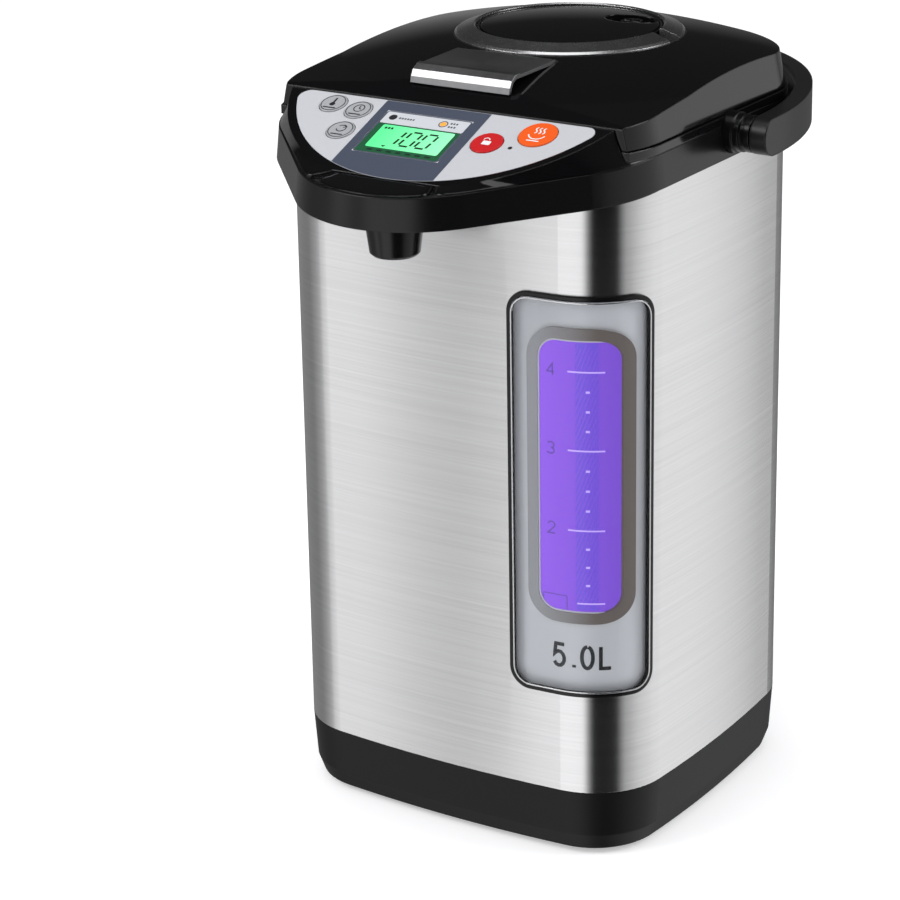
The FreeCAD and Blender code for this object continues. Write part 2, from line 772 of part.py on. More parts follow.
def make_pump():
    x, y = v.outlet_x, v.outlet_y
    floor = v.foot_height + v.cover_thickness
    low = floor + v.motor_height
    motor = cut("PumpMotor", cylinder("MotorCan", x, y, floor, v.motor_radius, v.motor_height), [
        cylinder("MotorBore", x, y, low - 9, v.shaft_radius + v.shaft_clearance, 10)])
    keep(motor, "pump_motor")
    aim = outlet_direction().normalize()
    port_z = low + v.pump_wall + 3.6
    cup = cylinder("PumpCup", x, y, low, v.pump_radius, v.pump_top - low)
    port = cylinder("PumpPort", x + aim.x * 10, y + aim.y * 10, port_z, v.hose_bore, 18, aim)
    shell = doc.addObject("Part::Fuse", "PumpShell")
    shell.Base, shell.Tool = cup, port
    cavity = cylinder("PumpCavity", x, y, low + v.pump_wall, v.pump_radius - v.pump_wall, v.pump_top)
    bore = cylinder("PumpBore", x, y, low - 1, v.shaft_radius + v.shaft_clearance, v.pump_wall + 2)
    port_bore = cylinder("PumpPortBore", x, y, port_z, v.hose_bore - 1.0, 40, aim)
    keep(cut("PumpHousing", shell, [cavity, bore, port_bore]), "pump_housing")
    lid = cylinder("PumpLidDisc", x, y, v.pump_top, v.pump_radius, 2.0)
    neck = cylinder("PumpLidNeck", x, y, v.pump_top + 2.0, v.outlet_radius, 5.5)
    top = doc.addObject("Part::Fuse", "PumpLidSolid")
    top.Base, top.Tool = lid, neck
    hole = cylinder("PumpLidBore", x, y, v.pump_top - 1, v.outlet_radius - 1.2, 10)
    keep(cut("PumpCover", top, [hole]), "pump_cover")
    owner = body("Impeller")
    base = low + v.pump_wall + 0.6
    disc = draw_circle(sketch(owner, (0, 0, base)), x, y, v.impeller_radius, "Sizes.impeller_radius")
    pad(owner, disc, 1.4)
    hub = draw_circle(sketch(owner, (0, 0, base)), x, y, 3.4)
    pad(owner, hub, v.impeller_height, "Sizes.impeller_height")
    shaft = draw_circle(sketch(owner, (0, 0, low - 8)), x, y, v.shaft_radius, "Sizes.shaft_radius")
    pad(owner, shaft, v.pump_wall + 9.0)
    vane = sketch(owner, (0, 0, base + 1.4))
    for i in range(int(v.impeller_vanes)):
        spin = Rotation(UP, i * 360.0 / v.impeller_vanes)
        corners = [Vector(2.6, -0.6, 0), Vector(v.impeller_radius - 0.6, -0.6, 0),
                   Vector(v.impeller_radius - 0.6, 0.6, 0), Vector(2.6, 0.6, 0)]
        turned = [spin.multVec(c) + Vector(x, y, 0) for c in corners]
        draw(vane, polygon([(c.x, c.y) for c in turned]))
    pad(owner, vane, v.impeller_height - 1.4)
    keep(owner, "impeller")
    sleeve_low = v.pump_top + 2.4
    sleeve = tube_solid("InletHose", x, y, sleeve_low, v.outlet_radius + 1.8, v.outlet_radius, v.pot_floor_z - 0.4 - sleeve_low)
    keep(sleeve, "inlet_hose")
    return port_z


def pipe_run(points, bend):
    """Straight runs through the points joined by tangent arcs of one radius."""
    edges = []
    here = points[0]
    for before, corner, after in zip(points, points[1:], points[2:]):
        back, ahead = (before - corner).normalize(), (after - corner).normalize()
        half = math.pi / 2 - back.getAngle(ahead) / 2
        reach = bend * math.tan(half)
        enter, leave = corner + back * reach, corner + ahead * reach
        centre_way = (back + ahead).normalize()
        centre = corner + centre_way * (bend / math.cos(half))
        middle = centre - centre_way * bend
        edges.append(Part.LineSegment(here, enter).toShape())
        edges.append(Part.Arc(enter, middle, leave).toShape())
        here = leave
    edges.append(Part.LineSegment(here, points[-1]).toShape())
    return Part.Wire(edges)


def hose(label, points):
    """A bent tube with its bore, swept along straight runs and arcs."""
    path = pipe_run(points, v.hose_bend)
    way = points[1] - points[0]
    solids = []
    for radius in (v.hose_radius, v.hose_bore):
        ring = Part.Wire(Part.makeCircle(radius, points[0], way))
        solids.append(path.makePipeShell([ring], True, True))
    made = doc.addObject("Part::Feature", label.title().replace("_", ""))
    made.Shape = solids[0].cut(solids[1])
    return keep(made, label)


def make_hoses(port_z):
    x, y = tube_place()
    aim = outlet_direction().normalize()
    start = Vector(v.outlet_x, v.outlet_y, port_z) + aim * (v.pump_radius + 1.0)
    low, high = v.window_bottom - 12, window_top + 12
    hose("riser_hose", [start, Vector(x, y, port_z), Vector(x, y, low)])
    cross = z_band + v.hose_radius + 1.2
    down = z_low - 4.0
    hose("outlet_pipe", [
        Vector(x, y, high), Vector(x, y, cross), Vector(0, v.spout_y, cross), Vector(0, v.spout_y, down)])


def slope(drop):
    """Degrees that the beak's edges fall from the slope's start to the tip."""
    return math.degrees(math.atan2(drop, v.beak_slope_start - beak_tip_y))


def make_collar_band():
    owner = body("CollarBand")
    rings = [
        draw(sketch(owner, (0, 0, z_low)), collar_outline(0)),
        draw(sketch(owner, (0, 0, z_seam)), collar_outline(v.band_lean)),
    ]
    loft(owner, rings)
    tilt = slope(v.beak_bottom_drop)
    start = v.beak_slope_start
    inner = draw(sketch(owner, (0, 0, z_seam)), collar_outline(v.band_wall))
    pocket(owner, inner, v.band_height + 0.5)
    far = 120.0
    fall = math.tan(math.radians(tilt)) * far
    under = side_on(owner)
    draw(under, polygon([(far, z_band), (far, z_band - 60), (start - far, z_band - 60), (start - far, z_band - fall),
                         (start, z_band)]))
    pocket(owner, under, 400.0, both=True)
    top_fall = math.tan(math.radians(slope(v.beak_seam_drop))) * far
    over = side_on(owner)
    draw(over, polygon([(start, z_seam), (start - far, z_seam - top_fall), (start - far, z_seam + 40), (start, z_seam + 40)]))
    pocket(owner, over, 400.0, both=True)
    well = sketch(owner, (0, start, z_band + v.band_floor), Rotation(Vector(1, 0, 0), tilt))
    shifted = [e.copy() for e in beak_front(v.band_wall)]
    draw(well, shifted)
    pocket(owner, well, 30.0, reverse=True)
    room = draw(sketch(owner, (0, 0, z_band)), body_outline(-v.seat_clearance))
    pocket(owner, room, 60.0)
    root = 0.6
    spigot = sketch(owner, (0, 0, z_band + root))
    outer = v.steel_wall + v.seat_clearance
    draw(spigot, body_outline(outer))
    draw(spigot, body_outline(outer + v.spigot_wall))
    pad(owner, spigot, v.spigot_length + root, reverse=True)
    hole = draw_circle(sketch(owner, (0, 0, z_band + 5)), 0, v.spout_y, v.spout_collar, "Sizes.spout_collar")
    pocket(owner, hole, 30.0)
    mount_seats(owner)
    return keep(owner, "collar_band")


def mount_seats(owner):
    """Round seats in both sides for the handle's mounts."""
    for side in (-1, 1):
        seat = side_on(owner, side * mount_seat_x)
        draw_circle(seat, v.handle_y, v.handle_z, v.mount_base_radius + 0.2)
        pocket(owner, seat, 20.0, reverse=side > 0)


def beak_front(inset):
    """The beak's plan in front of the slope's start, with y measured from that line."""
    a, b, sy = collar_sizes()
    shoulder, tip = v.beak_shoulder_radius, v.beak_tip_radius
    angle = v.beak_flank_angle
    nx, ny = math.sin(math.radians(angle)), -math.cos(math.radians(angle))
    sx, rs, rt = a - shoulder, shoulder - inset, tip - inset
    shift = -v.beak_slope_start
    cy, ty = sy + shift, beak_tip_y + tip + shift
    drop = math.degrees(math.asin(-cy / rs))
    x = sx + rs * math.cos(math.radians(drop))
    outer, inner = (sx + rs * nx, cy + rs * ny), (rt * nx, ty + rt * ny)
    return [
        line((x, 0), (-x, 0)), arc(-sx, cy, rs, 180 - drop, 270 - angle),
        line((-outer[0], outer[1]), (-inner[0], inner[1])), arc(0, ty, rt, 270 - angle, 270 + angle),
        line(inner, outer), arc(sx, cy, rs, angle - 90, drop),
    ]


def panel_arc(grow):
    """Radius and centre of the panel's round front, and the angle where it meets the chord."""
    c, d = v.panel_half_chord, v.panel_depth
    radius = (c * c + d * d) / (2 * d)
    centre = radius - d
    return radius + grow, centre, math.degrees(math.asin(centre / (radius + grow)))


def panel_outline(grow=0.0, chord=0.0):
    """The panel's plan in its own plane: a straight back edge, a round front and rounded corners."""
    radius, centre, _ = panel_arc(grow)
    corner = v.panel_corner_radius + grow
    y = chord - corner
    x = math.sqrt((radius - corner) ** 2 - (centre - y) ** 2)
    meet = math.degrees(math.atan2(centre - y, x))
    return [
        line((x, chord), (-x, chord)), arc(-x, y, corner, 90, 180 + meet),
        arc(0, centre, radius, 180 + meet, 360 - meet), arc(x, y, corner, -meet, 90),
    ]


def panel_rim(grow):
    """The same plan with its front in five arcs, to pair with the beak's plan."""
    radius, centre, meet = panel_arc(grow)
    x = radius * math.cos(math.radians(meet))
    whole = 180 - 2 * meet
    edges = [line((x, 0), (-x, 0))]
    angle = 180 + meet
    for share in (0.128, 0.2, 0.344, 0.2, 0.128):
        edges.append(arc(0, centre, radius, angle, angle + share * whole))
        angle += share * whole
    return edges


def on_panel(owner, depth=0.0):
    """A sketch parallel to the panel, depth below its face."""
    place = PANEL.multiply(Placement(Vector(0, 0, -depth), LEVEL))
    return sketch(owner, tuple(place.Base), place.Rotation)


KEYS = (
    ("temperature_key", -55.0, -8.2, v.small_key_radius),
    ("timer_key", -40.4, -10.4, v.small_key_radius),
    ("reboil_key", -40.0, -26.0, v.small_key_radius),
    ("unlock_key", 31.6, -20.7, v.red_key_radius),
    ("dispense_key", 51.0, -10.4, v.orange_key_radius),
)


def make_top_bezel():
    owner = body("TopBezel")
    strip = draw(sketch(owner, (0, 0, z_seam)), lid_outline(v.band_lean, v.panel_chord_y))
    pad(owner, strip, v.bezel_strip, "Sizes.bezel_strip")
    tilt = Rotation(Vector(1, 0, 0), slope(v.beak_seam_drop))
    low = draw(sketch(owner, (0, v.beak_slope_start, z_seam), tilt), beak_front(v.band_lean))
    high = draw(on_panel(owner), panel_rim(v.panel_rim))
    loft(owner, [low, high])
    room = side_on(owner)
    back, top = v.panel_chord_y, v.panel_chord_z + 20
    draw(room, polygon([(back, z_strip), (0, z_strip), (0, top), (back, top)]))
    pocket(owner, room, 400.0, both=True)
    wall = sketch(owner, (0, 0, v.pot_rim_z + v.pot_seal_height))
    draw_circle(wall, 0, v.pot_centre_y, v.mouth_radius + v.mouth_wall)
    pad(owner, wall, z_strip - v.pot_rim_z - v.pot_seal_height)
    mouth = draw_circle(sketch(owner, (0, 0, z_strip)), 0, v.pot_centre_y, v.mouth_radius, "Sizes.mouth_radius")
    pocket(owner, mouth, 30.0)
    deck = v.overlay_thickness + v.deck_thickness
    hollow = draw(on_panel(owner, deck), panel_outline(-v.deck_inset, -v.deck_chord_drop))
    pocket(owner, hollow, v.deck_hollow, "Sizes.deck_hollow")
    seat = draw(on_panel(owner), panel_outline(0.15))
    pocket(owner, seat, v.overlay_thickness, "Sizes.overlay_thickness")
    seats = on_panel(owner)
    for _, x, s, radius in KEYS:
        draw_circle(seats, x, s, radius + v.key_clearance)
    pocket(owner, seats, v.overlay_thickness + v.key_cap_seat)
    holes = on_panel(owner)
    for _, x, s, radius in KEYS:
        draw_circle(holes, x, s, radius - v.key_stem_inset + v.key_clearance)
    display_frame(holes, 1.2)
    pocket(owner, holes, deck + 1.0)
    posts = on_panel(owner, deck)
    for x, s in BOARD_POSTS:
        draw_circle(posts, x, s, 2.2)
    pad(owner, posts, board_depth() - deck, reverse=True)
    mount_seats(owner)
    for side in (-1, 1):
        ear = side_on(owner, side * (v.hinge_knuckle_half + 0.4))
        draw(ear, hinge_ear_outline())
        pad(owner, ear, v.hinge_ear, "Sizes.hinge_ear", reverse=side < 0)
    pin = draw_circle(side_on(owner), v.hinge_y, v.hinge_z, v.hinge_pin_radius, "Sizes.hinge_pin_radius")
    pocket(owner, pin, 400.0, both=True)
    return keep(owner, "top_bezel")


def hinge_ear_outline():
    y, z, r = v.hinge_y, v.hinge_z, v.hinge_knuckle_radius
    back = v.body_half_depth + v.collar_overhang - v.band_lean
    front = back - 2.6
    step = y - 3.4
    return [
        line((front, z_seam), (y, z_seam)), line((y, z_seam), (y, z - r)), arc(y, z, r, -90, 90),
        line((y, z + r), (step, z + r)), line((step, z + r), (step, z_strip)),
        line((step, z_strip), (front, z_strip)), line((front, z_strip), (front, z_seam)),
    ]


BOARD_POSTS = ((-54.0, -20.0), (-30.0, -20.0), (24.0, -12.0), (54.0, -20.0))


def board_depth():
    return v.overlay_thickness + v.display_module_height + v.board_gap


def display_frame(made, inset):
    half_w, half_h = v.display_width / 2 - inset, v.display_height / 2 - inset
    x, s = v.display_x, v.display_s
    return draw(made, rounded(x - half_w, s - half_h, x + half_w, s + half_h, 2.0))


def make_panel_pieces():
    owner = body("ControlOverlay")
    face = draw(on_panel(owner, v.overlay_thickness), panel_outline(0, -0.35))
    pad(owner, face, v.overlay_thickness, "Sizes.overlay_thickness")
    holes = on_panel(owner)
    for _, x, s, radius in KEYS:
        draw_circle(holes, x, s, radius + v.key_clearance)
    display_frame(holes, 0)
    pocket(owner, holes, v.overlay_thickness)
    keep(owner, "control_overlay")
    glass = body("DisplayLens")
    pad(glass, display_frame(on_panel(glass, v.overlay_thickness), 0.1), v.overlay_thickness)
    keep(glass, "display_lens")
    module = body("DisplayModule")
    pad(module, display_frame(on_panel(module, v.overlay_thickness), 1.4), v.display_module_height, reverse=True)
    keep(module, "display_module")
    board = body("KeyBoard")
    back = -v.deck_chord_drop - 0.6
    plan = polygon([(-62.0, back), (-62.0, -16.0), (-50.0, -28.0), (50.0, -28.0), (62.0, -16.0), (62.0, back)])
    pad(board, draw(on_panel(board, board_depth()), plan), v.board_thickness, "Sizes.board_thickness", reverse=True)
    keep(board, "key_board")
    for label, x, s, radius in KEYS:
        key = body(label.title().replace("_", ""))
        deck = v.overlay_thickness + v.deck_thickness
        skirt = v.overlay_thickness + v.key_cap_seat - v.key_travel - v.key_clearance
        cap = draw_circle(on_panel(key, skirt), x, s, radius)
        shape = pad(key, cap, skirt + v.key_proud)
        fillet(key, shape, 0.4, lambda e, m: (PANEL.inverse().multVec(m)).z > 0.1)
        low = deck + v.key_clearance + 1.0
        stem = draw_circle(on_panel(key, low), x, s, radius - v.key_stem_inset)
        pad(key, stem, low - skirt + 0.2)
        barb = draw_circle(on_panel(key, low), x, s, radius - v.key_stem_inset + 0.8)
        pad(key, barb, 1.0)
        keep(key, label)


def make_spout():
    owner = body("SpoutNozzle")
    made = upright(owner, 0, v.spout_y)
    tilt = math.radians(slope(v.beak_bottom_drop))
    seat = z_band + (v.spout_y - v.beak_slope_start) * math.tan(tilt)
    low = seat - v.spout_length
    top, tip = v.spout_top_radius, v.spout_tip_radius
    draw(made, polygon([(0, low), (tip - 1.2, low), (tip, low + 1.2), (top - 0.8, seat - 3.0),
                        (top + 1.2, seat), (top + 1.2, seat + 3.0), (0, seat + 3.0)]))
    turn(owner, made)
    over = side_on(owner)
    run = 40.0
    rise = run * math.tan(tilt)
    draw(over, polygon([(v.spout_y - run, seat - rise), (v.spout_y + run, seat + rise),
                        (v.spout_y + run, seat + 30), (v.spout_y - run, seat + 30)]))
    pocket(owner, over, 100.0, both=True)
    collar = draw_circle(sketch(owner, (0, 0, seat - 4)), 0, v.spout_y, v.spout_collar - 0.15)
    pad(owner, collar, 4 + v.band_floor + 1.2)
    socket = draw_circle(sketch(owner, (0, 0, seat + 10)), 0, v.spout_y, v.hose_radius + 0.8)
    pocket(owner, socket, 10 + seat - z_low + 4.2)
    bore = draw_circle(sketch(owner, (0, 0, seat + 10)), 0, v.spout_y, v.spout_bore, "Sizes.spout_bore")
    pocket(owner, bore, 60.0)
    return keep(owner, "spout_nozzle")


def crown_z(radius):
    """Height of the lid's crown at a distance from its own axis."""
    big = v.lid_crown_radius
    return v.lid_apex - big + math.sqrt(big * big - radius * radius)


def make_lid_cover():
    owner = body("LidCover")
    front = v.panel_chord_y + v.lid_gap
    high = v.lid_apex + 4.0
    rings = [
        draw(sketch(owner, (0, 0, z_lid)), lid_outline(v.lid_inset, front)),
        draw(sketch(owner, (0, 0, high)), lid_outline(v.lid_inset + v.lid_lean, front)),
    ]
    loft(owner, rings)
    reach = 150.0
    crown = upright(owner, 0, v.lid_crown_y)
    big = v.lid_crown_radius
    bend = v.lid_crown_reach
    edge = math.degrees(math.asin(bend / big))
    rim = crown_z(bend) - (reach - bend) * v.lid_shoulder_slope
    draw(crown, [
        arc(0, v.lid_apex - big, big, 90 - edge, 90), line((0, v.lid_apex), (0, high + 5)),
        line((0, high + 5), (reach, high + 5)), line((reach, high + 5), (reach, rim)),
        line((reach, rim), (bend, crown_z(bend))),
    ])
    turn(owner, crown, "Groove")
    facet = side_on(owner)
    grade = math.tan(math.radians(v.lid_facet_angle))
    foot = v.panel_chord_z + v.lid_gap
    draw(facet, polygon([(front - 2, foot - 2 * grade), (front + 24, foot + 24 * grade),
                         (front + 24, high + 5), (front - 2, high + 5)]))
    pocket(owner, facet, 400.0, both=True)
    seat = draw_circle(sketch(owner, (0, 0, high)), 0, v.lid_crown_y, v.ring_radius + 0.3)
    pocket(owner, seat, high - ring_seat_z)
    under = draw(sketch(owner, (0, 0, z_lid)), lid_outline(v.lid_inset + v.lid_skirt, front + v.lid_skirt))
    pocket(owner, under, v.lid_roof_z - z_lid, reverse=True)
    chamber = draw_circle(sketch(owner, (0, 0, v.lid_roof_z)), 0, v.lid_crown_y, v.lid_chamber_radius)
    pocket(owner, chamber, v.lid_chamber_height, "Sizes.lid_chamber_height", reverse=True)
    half = v.latch_half_width + 0.35
    recess = sketch(owner, (0, 0, v.latch_recess_z))
    draw(recess, polygon([(-half, front - 5), (half, front - 5), (half, v.latch_pin_y + 3.9), (-half, v.latch_pin_y + 3.9)]))
    pocket(owner, recess, 20.0, reverse=True)
    slot = v.latch_lug_half + 0.35
    well = sketch(owner, (0, 0, v.latch_recess_z))
    y0, y1 = v.latch_pin_y - 4.6, v.latch_pin_y + 3.9
    draw(well, polygon([(-slot, y0), (slot, y0), (slot, y1), (-slot, y1)]))
    pocket(owner, well, 6.6)
    pin = draw_circle(side_on(owner), v.latch_pin_y, v.latch_pin_z, v.latch_pin_radius)
    pocket(owner, pin, 2 * (slot + 8.0), both=True)
    steam = draw_circle(sketch(owner, (0, 0, high)), v.steam_x, v.lid_crown_y + v.steam_y, v.steam_bore + 1.0)
    pocket(owner, steam, 60.0)
    knuckle = side_on(owner)
    y, z, r = v.hinge_y, v.hinge_z, v.hinge_knuckle_radius
    wall = v.body_half_depth + v.collar_overhang - v.lid_inset - v.lid_skirt + 1
    draw(knuckle, [
        arc(y, z, r, 180, 90), line((y, z + r), (wall, z + r)), line((wall, z + r), (wall, z)),
        line((wall, z), (y - r, z)),
    ])
    made = pad(owner, knuckle, 2 * v.hinge_knuckle_half)
    made.Midplane = True
    bore = draw_circle(side_on(owner), y, z, v.hinge_pin_radius + v.hinge_clearance)
    pocket(owner, bore, 100.0, both=True)
    return keep(owner, "lid_cover")


def make_lid_pieces():
    owner = body("LidPlug")
    made = upright(owner, 0, v.pot_centre_y)
    r, w, low, top = v.plug_radius, v.plug_wall, v.plug_bottom, v.lid_roof_z
    draw(made, polygon([(0, low), (r, low), (r, top - 2), (r + 2, top - 2), (r + 2, top), (r - w, top),
                        (r - w, low + w), (0, low + w)]))
    turn(owner, made)
    vents = sketch(owner, (0, 0, low + w))
    for i in range(6):
        angle = math.radians(60 * i + 30)
        draw_circle(vents, 45 * math.cos(angle), v.pot_centre_y + 45 * math.sin(angle), 2.5)
    pocket(owner, vents, w, "Sizes.plug_wall")
    keep(owner, "lid_plug")
    gasket = tube_solid(
        "LidGasket", 0, v.pot_centre_y, v.pot_rim_z + v.lid_gasket_lift,
        v.lid_gasket_radius, v.plug_radius, v.lid_gasket_height)
    keep(gasket, "lid_gasket")
    ring = body("VentRing")
    made = upright(ring, 0, v.lid_crown_y)
    low, edge = ring_seat_z, crown_z(v.ring_radius) + 0.3
    r0, r1 = v.ring_inner_radius, v.ring_radius
    draw(made, polygon([(r0, low), (r1, low), (r1, edge), (r1 - 1.2, edge + v.ring_edge * 0.6),
                        (r0 + 0.8, edge + v.ring_rise), (r0, edge + v.ring_rise - 0.6)]))
    turn(ring, made)
    gap = sketch(ring, (0, v.lid_crown_y, v.lid_apex + 10))
    start, end = math.radians(v.ring_gap_start), math.radians(v.ring_gap_start + v.ring_gap_angle)
    far, near = r1 + 6, r0 - 6
    draw(gap, polygon([(near * math.cos(start), near * math.sin(start)), (far * math.cos(start), far * math.sin(start)),
                       (far * math.cos(end), far * math.sin(end)), (near * math.cos(end), near * math.sin(end))]))
    pocket(ring, gap, 40.0)
    keep(ring, "vent_ring")
    disc = body("VentDisc")
    made = upright(disc, 0, v.lid_crown_y)
    rise, edge_z = v.disc_crown, ring_seat_z + v.disc_edge
    r = v.disc_radius
    dome = (r * r + rise * rise) / (2 * rise)
    sweep = math.degrees(math.asin(r / dome))
    low = ring_seat_z
    draw(made, [
        line((0, low), (r + 1.6, low)), line((r + 1.6, low), (r + 1.6, edge_z - 0.4)),
        line((r + 1.6, edge_z - 0.4), (r + 0.8, edge_z - 0.4)),
        line((r + 0.8, edge_z - 0.4), (r + 0.8, edge_z - v.disc_groove - 0.6)),
        line((r + 0.8, edge_z - v.disc_groove - 0.6), (r, edge_z - v.disc_groove - 0.6)),
        line((r, edge_z - v.disc_groove - 0.6), (r, edge_z)),
        arc(0, edge_z + rise - dome, dome, 90 - sweep, 90), line((0, edge_z + rise), (0, low)),
    ])
    turn(disc, made)
    angle = math.degrees(math.atan2(v.steam_y, v.steam_x))
    scoop = sketch(disc, (v.steam_x, v.lid_crown_y + v.steam_y, edge_z + rise + 4), Rotation(UP, angle))
    w, l = v.steam_width / 2, v.steam_length / 2
    draw(scoop, rounded(-l, -w, l, w, w * 0.98))
    pocket(disc, scoop, 4 + rise + 2.6)
    bore = draw_circle(
        sketch(disc, (0, 0, edge_z + rise)), v.steam_x, v.lid_crown_y + v.steam_y, v.steam_bore, "Sizes.steam_bore")
    pocket(disc, bore, 20.0)
    keep(disc, "vent_disc")


def make_latch():
    owner = body("LidLatch")
    plate = side_on(owner)
    back, front, top, w = v.latch_back_y, v.latch_front_y, v.latch_top_z, v.latch_plate
    draw(plate, polygon([
        (back, top), (front + 9.5, top - 0.7), (front + 7.5, top + 0.1), (front + 5.0, top - 0.2),
        (front + 1.6, top - 2.2), (front, top - 5.0), (front - 0.8, top - v.latch_lip),
        (front + 0.8, top - v.latch_lip), (front + 1.6, top - 5.2), (front + 3.0, top - 3.2),
        (front + 5.6, top - w - 0.3), (back, top - w),
    ]))
    pad(owner, plate, 2 * v.latch_half_width).Midplane = True
    lug = side_on(owner)
    y, z, r = v.latch_pin_y, v.latch_pin_z, v.latch_pin_radius + 1.4
    deep = z - r + 0.2
    draw(lug, polygon([(y - 3.0, top - w + 0.2), (y - 3.0, deep), (y + 2.2, deep), (y + 2.2, top - w + 0.2)]))
    pad(owner, lug, 2 * v.latch_lug_half).Midplane = True
    bore = draw_circle(side_on(owner), y, z, v.latch_pin_radius + v.latch_pin_clearance)
    pocket(owner, bore, 100.0, both=True)
    keep(owner, "lid_latch")
    half = v.latch_lug_half + 6.0
    pin = cylinder("LatchPin", -half, y, z, v.latch_pin_radius, 2 * half, Vector(1, 0, 0))
    pin.setExpression("Radius", "Sizes.latch_pin_radius")
    keep(pin, "latch_pin")
    half = v.hinge_knuckle_half + v.hinge_ear
    pin = cylinder("HingePin", -half, v.hinge_y, v.hinge_z, v.hinge_pin_radius, 2 * half, Vector(1, 0, 0))
    pin.setExpression("Radius", "Sizes.hinge_pin_radius")
    keep(pin, "hinge_pin")


def bail_arc(a, b, start):
    """The part of a half ellipse about the handle's pivots that lies behind start, and its end's x."""
    y = v.handle_y
    whole = Part.Ellipse(Vector(0, y + b, 0), Vector(-a, y, 0), Vector(0, y, 0))
    turn_to = math.acos((start - y) / b)
    return Part.ArcOfEllipse(whole, -turn_to, turn_to), a * math.sin(turn_to)


def handle_outline(inset, inner_inset, end_y):
    """A bail between two half ellipses, with straight arms on to end_y where that is before the pivots."""
    y = v.handle_y
    outer, xo = bail_arc(handle_half_width - inset, v.handle_reach - inset, max(end_y, y))
    inner, xi = bail_arc(handle_half_width - inner_inset, v.handle_reach - inner_inset, max(end_y, y))
    if end_y >= y:
        return [outer, line((-xo, end_y), (-xi, end_y)), inner, line((xi, end_y), (xo, end_y))]
    return [
        outer, line((-xo, y), (-xo, end_y)), line((-xo, end_y), (-xi, end_y)), line((-xi, end_y), (-xi, y)),
        inner, line((xi, y), (xi, end_y)), line((xi, end_y), (xo, end_y)), line((xo, end_y), (xo, y)),
    ]


def make_handle():
    owner = body("Handle")
    half = v.handle_height / 2
    end = v.handle_y - half
    low = v.handle_z - half
    plan = draw(sketch(owner, (0, 0, low)), handle_outline(0, v.handle_flange, end))
    shape = pad(owner, plan, v.handle_height, "Sizes.handle_height")
    fillet(owner, shape, half - 0.1, lambda e, m: abs(m.y - end) < 0.01 and abs(m.z - v.handle_z) > 1)
    channel = sketch(owner, (0, 0, low + v.handle_flange_wall))
    a, b, y = handle_half_width, v.handle_reach, v.handle_y
    web, deep = v.handle_web, v.handle_flange + 0.5
    start = y + half + 4
    draw(channel, handle_outline(web, deep, start))
    pocket(owner, channel, v.handle_height - 2 * v.handle_flange_wall, reverse=True)
    for side in (-1, 1):
        hole = side_on(owner, side * (a - v.handle_flange - 1))
        draw_circle(hole, y, v.handle_z, v.handle_pin_radius + v.handle_pin_clearance)
        pocket(owner, hole, v.handle_flange - web + 1, reverse=side > 0)
    keep(owner, "handle")
    for side, label in ((-1, "handle_mount_left"), (1, "handle_mount_right")):
        mount = body(label.title().replace("_", ""))
        x0, x1 = mount_seat_x, handle_half_width - v.handle_flange - 0.6
        stages = ((x0, v.mount_base_radius, 5.6), (x0, v.mount_neck_radius, x1 - 1.8 - x0),
                  (x0, v.mount_neck_radius + 1.1, 8.6), (x1 - 3.0, v.mount_neck_radius + 0.9, 3.0),
                  (x0, v.handle_pin_radius, handle_half_width - web - x0 - 0.4))
        for x, radius, length in stages:
            ring = draw_circle(side_on(mount, side * x), y, v.handle_z, radius)
            pad(mount, ring, length, reverse=side < 0)
        keep(mount, label)


def make_inlet_and_boards():
    owner = body("PowerInlet")
    w, low, high = v.inlet_half_width - 0.2, v.inlet_floor_z + 0.2, v.inlet_floor_z + v.inlet_height - 0.2
    back = v.body_half_depth - v.base_foot_inset + 1.5
    block = sketch(owner, (0, 0, -back), plane="XZ_Plane")
    draw(block, rounded(-w, low, w, high, 2.8))
    pad(owner, block, v.inlet_depth, "Sizes.inlet_depth")
    mouth = sketch(owner, (0, 0, -back), plane="XZ_Plane")
    draw(mouth, rounded(-w + 3, low + 3, w - 3, high - 3, 2.0))
    pocket(owner, mouth, v.inlet_depth - 3.0, reverse=True)
    keep(owner, "power_inlet")
    floor_y = back - v.inlet_depth + 3.0
    middle = (low + high) / 2
    pins = [cylinder("InletPin", x, floor_y, middle, 1.9, 5.0, Vector(0, 1, 0)) for x in (-7.0, 7.0)]
    group("inlet_pins", pins)
    board = body("PowerBoard")
    level = v.foot_height + v.cover_thickness + 6.0
    pad(board, draw(sketch(board, (0, 0, level)), polygon([(-58, 28), (12, 28), (12, 60), (-58, 60)])), 1.6)
    parts = sketch(board, (0, 0, level + 1.6))
    draw(parts, polygon([(-54, 34), (-32, 34), (-32, 54), (-54, 54)]))
    draw(parts, polygon([(-24, 36), (-12, 36), (-12, 50), (-24, 50)]))
    pad(board, parts, 12.0)
    cans = sketch(board, (0, 0, level + 1.6))
    draw_circle(cans, -2, 50, 5.0)
    draw_circle(cans, 4, 37, 3.6)
    pad(board, cans, 9.0)
    keep(board, "power_board")
    posts = [cylinder("BoardPost", x, y, v.foot_height + v.cover_thickness, 3.0, 6.0)
             for x in (-54, 8) for y in (31, 57)]
    group("board_posts", posts)


make_base_shell()
make_bottom_cover()
make_feet()
make_screws()
make_window_pieces()
make_level_tube()
make_pot()
make_heater()
make_hoses(make_pump())
make_collar_band()
make_top_bezel()
make_panel_pieces()
make_spout()
make_lid_cover()
make_lid_pieces()
make_latch()
make_handle()
make_inlet_and_boards()
doc.recompute()
for node in nodes:
    node.Placement = Placement(Vector(0, -middle_y, 0), LEVEL) * node.Placement
doc.recompute()

for thing in doc.Objects:
    if "Invalid" in thing.State or "Error" in thing.State:
        raise RuntimeError("%s is %s" % (thing.Label, thing.State))
for node in nodes:
    if node.Shape.isNull() or not node.Shape.isValid() or not node.Shape.Solids:
        raise RuntimeError("%s has no valid solid" % node.Label)

